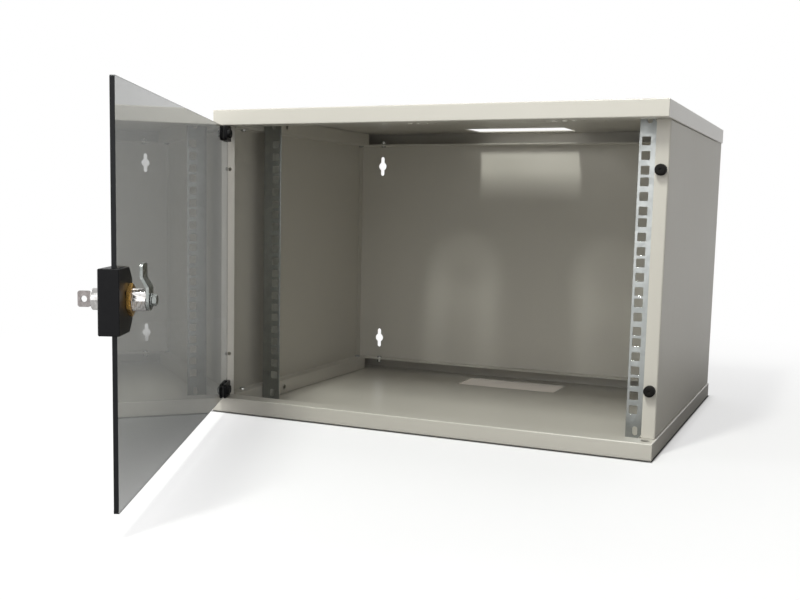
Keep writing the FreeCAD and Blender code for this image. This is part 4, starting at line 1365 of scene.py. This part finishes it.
@dataclass
class LockSet:
    """Cam lock in its clip-on bracket, with nut, plug, cam and key."""

    shop: Workshop
    nut: HexPiece
    cam_head: HexPiece
    bracket_edge: float = 0.8 * MM
    pad_edge: float = 0.11 * MM
    sheet_edge: float = 0.22 * MM
    shortest: float = 1.5 * MM
    washer_radius: float = 5.5 * MM
    washer_height: float = 0.8 * MM
    stem_radius: float = 2.0 * MM
    lip: float = 0.12 * MM

    def build(self) -> None:
        """Fit the lock's pieces."""
        shop, inward = self.shop, self.shop.inward
        shop.soften("moulded", "lock_bracket", Finish.BRACKET, self.bracket_edge, steps=3)
        shop.soften("soft", "bracket_pads", Finish.PAD, self.pad_edge)
        barrel = ThreadedBarrel(self._length("lock_barrel"))
        shop.seat("threaded_lock_barrel", barrel, Finish.CHROME, "lock_barrel", inward)
        shop.seat("chamfered_lock_nut", self.nut, Finish.BRASS, "lock_nut", inward)
        for name, finish in (("lock_plug", Finish.CHROME), ("lock_cam", Finish.CAM), ("key", Finish.KEY)):
            shop.soften("finished", name, finish, self.sheet_edge, shortest=self.shortest)
        self._cam_screw(self._length("cam_screw"))

    def _length(self, node: str) -> float:
        """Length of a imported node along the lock's axis."""
        low, high = extent((vertex.co for vertex in self.shop.node(node).vertices), self.shop.door.inverted())
        return high.y - low.y

    def _cam_screw(self, length: float) -> None:
        """Fit the hexagon screw and washer that hold the cam.

        Args:
            length: The screw's whole length.
        """
        node, inward, lip = self.shop.node("cam_screw"), self.shop.inward, self.lip
        head = self.cam_head.mesh(seats_of(node, inward, self.cam_head.height), Finish.CAM)
        top = length - self.cam_head.height
        foot = top - self.washer_height
        stem, washer = self.stem_radius, self.washer_radius
        profile = [(0.0, 0.0), (stem - lip, 0.0), (stem, lip), (stem, foot), (washer - lip, foot),
                   (washer, foot + lip), (washer, top - lip), (washer - lip, top), (0.0, top)]
        base, _ = seats_of(node, inward, length)[0]
        shank = placed(turned(profile), Matrix.Translation(base) @ laid(inward))
        self.shop.fit("cam_hex_screw", joined(head, shank), Finish.CAM, "cam_screw")


# ---------------------------------------- studio


@dataclass(frozen=True)
class Lamp:
    """A soft lamp that lights a plain white surface facing it to a given level."""

    name: str
    azimuth: float
    elevation: float
    level: float
    width: float = 2.0
    height: float = 2.0
    distance: float = 2.4
    tint: Colour = (1.0, 1.0, 1.0)

    def hang(self, aim: Vector) -> None:
        """Hang the lamp where it belongs.

        Args:
            aim: The point that it is turned to.
        """
        data = bpy.data.lights.new(self.name, "AREA")
        data.shape = "RECTANGLE"
        data.size, data.size_y = self.width, self.height
        data.energy = self.level * math.pi ** 2 * self.distance ** 2
        data.color = self.tint
        lamp = bpy.data.objects.new(self.name, data)
        turn, lift = math.radians(self.azimuth), math.radians(self.elevation)
        away = Vector((math.sin(turn) * math.cos(lift), -math.cos(turn) * math.cos(lift), math.sin(lift)))
        lamp.location = aim + away * self.distance
        lamp.rotation_euler = away.to_track_quat("Z", "Y").to_euler()
        bpy.context.scene.collection.objects.link(lamp)


def ray(tree: Tree, kind: str) -> Sock:
    """One on rays of a kind, and zero on others."""
    return tree.add("ShaderNodeLightPath", output=f"Is {kind} Ray")


def seen(tree: Tree, mirrored: Sock | float = 1.0) -> Sock:
    """One on the rays of camera and glass, a share on those of mirrors, and zero on light's."""
    camera, glossy, through = (ray(tree, kind) for kind in ("Camera", "Glossy", "Transmission"))
    return camera.op("MAXIMUM", glossy * mirrored).op("MAXIMUM", through)


@dataclass(frozen=True)
class Floor:
    """Plain floor: white to look at, but for the shadow and for what lies under the cabinet.

    Mirrors see it darker near the cabinet, a painted shade, and it sends less light back than it
    shows. A thin dark line round the footprint is a painted contact shadow. Distances go out from
    the edge of the footprint, which is given by its half sizes; those of shadow go out from the
    middle. contact and shadow are a band's start, its end and the least share of white.
    """

    size: float = 14.0
    footprint: tuple[float, float] = (0.2695, 0.223)
    under: float = -0.004
    # Painted contact shadow: where the thin dark line round the footprint fades out, and how much narrower it
    # is along the sides.
    seam: tuple[float, float] = (0.001, 0.008)
    side_seam: float = 2.5
    contact: Triple = (-0.0075, 0.015, 0.3)
    shadow: Triple = (0.35, 1.1, 0.6)
    mirrored: float = 0.7
    glow_under: float = 0.12
    white: Colour = (0.9, 0.9, 0.9)
    bounce: Colour = (0.46, 0.4462, 0.4324)
    # Painted shade: the darker floor that mirrors see near the cabinet.
    mirror: Colour = (0.26, 0.26, 0.26)
    table: Colour = (0.95, 0.87, 0.77)
    # Colour of the painted contact shadow round the footprint.
    gap: Colour = (0.04, 0.04, 0.04)

    def lay(self, level: float) -> None:
        """Lay the floor.

        Args:
            level: Its height.
        """
        mesh = bpy.data.meshes.new("floor")
        half = self.size / 2
        mesh.from_pydata([(x * half, y * half, level) for x, y in ((-1, -1), (1, -1), (1, 1), (-1, 1))],
                         [], [(0, 1, 2, 3)])
        mesh.materials.append(self._material())
        add_object("floor", mesh)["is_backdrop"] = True

    def _material(self) -> bpy.types.Material:
        """Material that knows where the cabinet's footprint lies.

        Returns:
            The material.
        """
        shade = Shade("floor")
        x, y = (shade.add("ShaderNodeSeparateXYZ", {0: shade.place}, axis) for axis in range(2))
        beside = x.op("ABSOLUTE") - self.footprint[0]
        past = y.op("ABSOLUTE") - self.footprint[1]
        away = beside.op("MAXIMUM", past)
        inside = away < self.under
        open_floor = shade.band(away, 0.0, self.mirrored)
        past_shadow_line = shade.band((beside * self.side_seam).op("MAXIMUM", past), *self.seam)
        look = seen(shade, open_floor)
        ground = shade.blend(look, self.bounce, self.white)
        # Painted shade in reflections: mirrors see the floor darker near the cabinet.
        ground = shade.blend(ray(shade, "Glossy") * (1.0 - open_floor), ground, self.mirror)
        ground = shade.blend(inside, ground, self.table)
        # Painted contact shadow: a thin dark line round the footprint, where the white share below also falls
        # to nothing.
        ground = shade.blend(past_shadow_line.op("MAXIMUM", inside), self.gap, ground)
        near = self._rise(shade, away, self.contact) * past_shadow_line + inside * self.glow_under
        share = look * self._rise(shade, (x * x + y * y) ** 0.5, self.shadow) * near
        diffuse = shade.add("ShaderNodeBsdfDiffuse", {"Color": ground})
        white = shade.add("ShaderNodeEmission", {"Color": (1.0, 1.0, 1.0), "Strength": 1.0})
        return shade.close(shade.add("ShaderNodeMixShader", {0: share, 1: diffuse, 2: white}))

    @staticmethod
    def _rise(shade: Shade, distance: Sock, band: Triple) -> Sock:
        """Share that rises to 1 over a band, given by its start, its end and the least share."""
        start, end, least = band
        return shade.band(distance, start, end) * (1.0 - least) + least


@dataclass
class Studio:
    """Camera, lamps, surroundings and floor."""

    eye: Triple = (0.451232, -1.325363, 0.259496)
    right: Triple = (0.9016, 0.4323, 0.0175)
    back: Triple = (0.4273, -0.8961, 0.1203)
    lens: float = 47.44
    shift: tuple[float, float] = (0.0568, 0.0416)
    nearest: float = 0.01
    air: Colour = (0.10, 0.10, 0.10)
    floor: Floor = Floor()
    lamps: Sequence[Lamp] = (
        Lamp("ceiling", -5.3, 50.8, 0.575, 0.15, 0.66, tint=(0.995, 1.015, 0.955)),
        Lamp("left", -75.0, 20.0, 1.0),
        Lamp("front", 0.0, 12.0, 0.27),
        Lamp("right", 20.0, 40.0, 0.15),
        Lamp("behind", 180.0, 58.0, 0.46),
    )

    def build(self) -> None:
        """Set everything up."""
        bpy.context.scene.view_settings.view_transform = "Standard"
        self._camera()
        low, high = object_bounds()
        for lamp in self.lamps:
            lamp.hang(Vector((0.0, 0.0, (low.z + high.z) / 2)))
        self._world()
        self.floor.lay(low.z)

    def _camera(self) -> None:
        """Place the camera."""
        data = bpy.data.cameras.new("camera")
        data.lens = self.lens
        data.shift_x, data.shift_y = self.shift
        data.clip_start = self.nearest
        camera = bpy.data.objects.new("camera", data)
        back = Vector(self.back).normalized()
        up = back.cross(Vector(self.right)).normalized()
        turn = Matrix((up.cross(back), up, back)).transposed().to_4x4()
        camera.matrix_world = Matrix.Translation(self.eye) @ turn
        bpy.context.scene.collection.objects.link(camera)
        bpy.context.scene.camera = camera

    def _world(self) -> None:
        """Surroundings: soft light on the cabinet, white to look at."""
        world = bpy.data.worlds.new("surroundings")
        world.use_nodes = True
        world.node_tree.nodes.clear()
        tree = Tree(world.node_tree)
        light, white = (tree.add("ShaderNodeBackground", {"Color": colour, "Strength": 1.0})
                        for colour in (self.air, (1.0, 1.0, 1.0)))
        mix = tree.add("ShaderNodeMixShader", {0: seen(tree), 1: light, 2: white})
        tree.add("ShaderNodeOutputWorld", {"Surface": mix})
        bpy.context.scene.world = world


# ---------------------------------------- the whole


M4_SCREW = PanScrew(height=2.4 * MM, head_radius=3.8 * MM, shank_radius=1.95 * MM, shank_length=7.0 * MM,
                    recess_width=0.95 * MM, recess_reach=1.9 * MM, recess_depth=1.3 * MM)
M6_SCREW = PanScrew(height=3.4 * MM, head_radius=5.6 * MM, shank_radius=2.95 * MM, shank_length=8.7 * MM,
                    recess_width=1.3 * MM, recess_reach=2.9 * MM, recess_depth=1.8 * MM)
M6_NUT = HexPiece(height=5.0 * MM, across_flats=10.0 * MM, bore_radius=2.98 * MM, chamfer=0.5 * MM)
LOCK_NUT = HexPiece(height=3.5 * MM, across_flats=22.5 * MM, bore_radius=9.05 * MM, chamfer=0.5 * MM)
CAM_HEAD = HexPiece(height=3.6 * MM, across_flats=8.0 * MM, bore_radius=0.02 * MM, chamfer=0.45 * MM)


def main() -> None:
    """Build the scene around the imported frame."""
    logging.basicConfig(level=logging.INFO, format="%(name)s: %(message)s")
    shop = Workshop(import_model())
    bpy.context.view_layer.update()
    CabinetShell(shop).build()
    RackRails(shop, PunchedRail(), M6_SCREW, M6_NUT).build()
    PanelFasteners(shop, M4_SCREW).build()
    DoorBumpers(shop).build()
    PivotBushes(shop).build()
    HingeClamps(shop, KnobScrew()).build()
    TintedPane(shop).build()
    LockSet(shop, LOCK_NUT, CAM_HEAD).build()
    Studio().build()


if __name__ == "__main__":
    main()
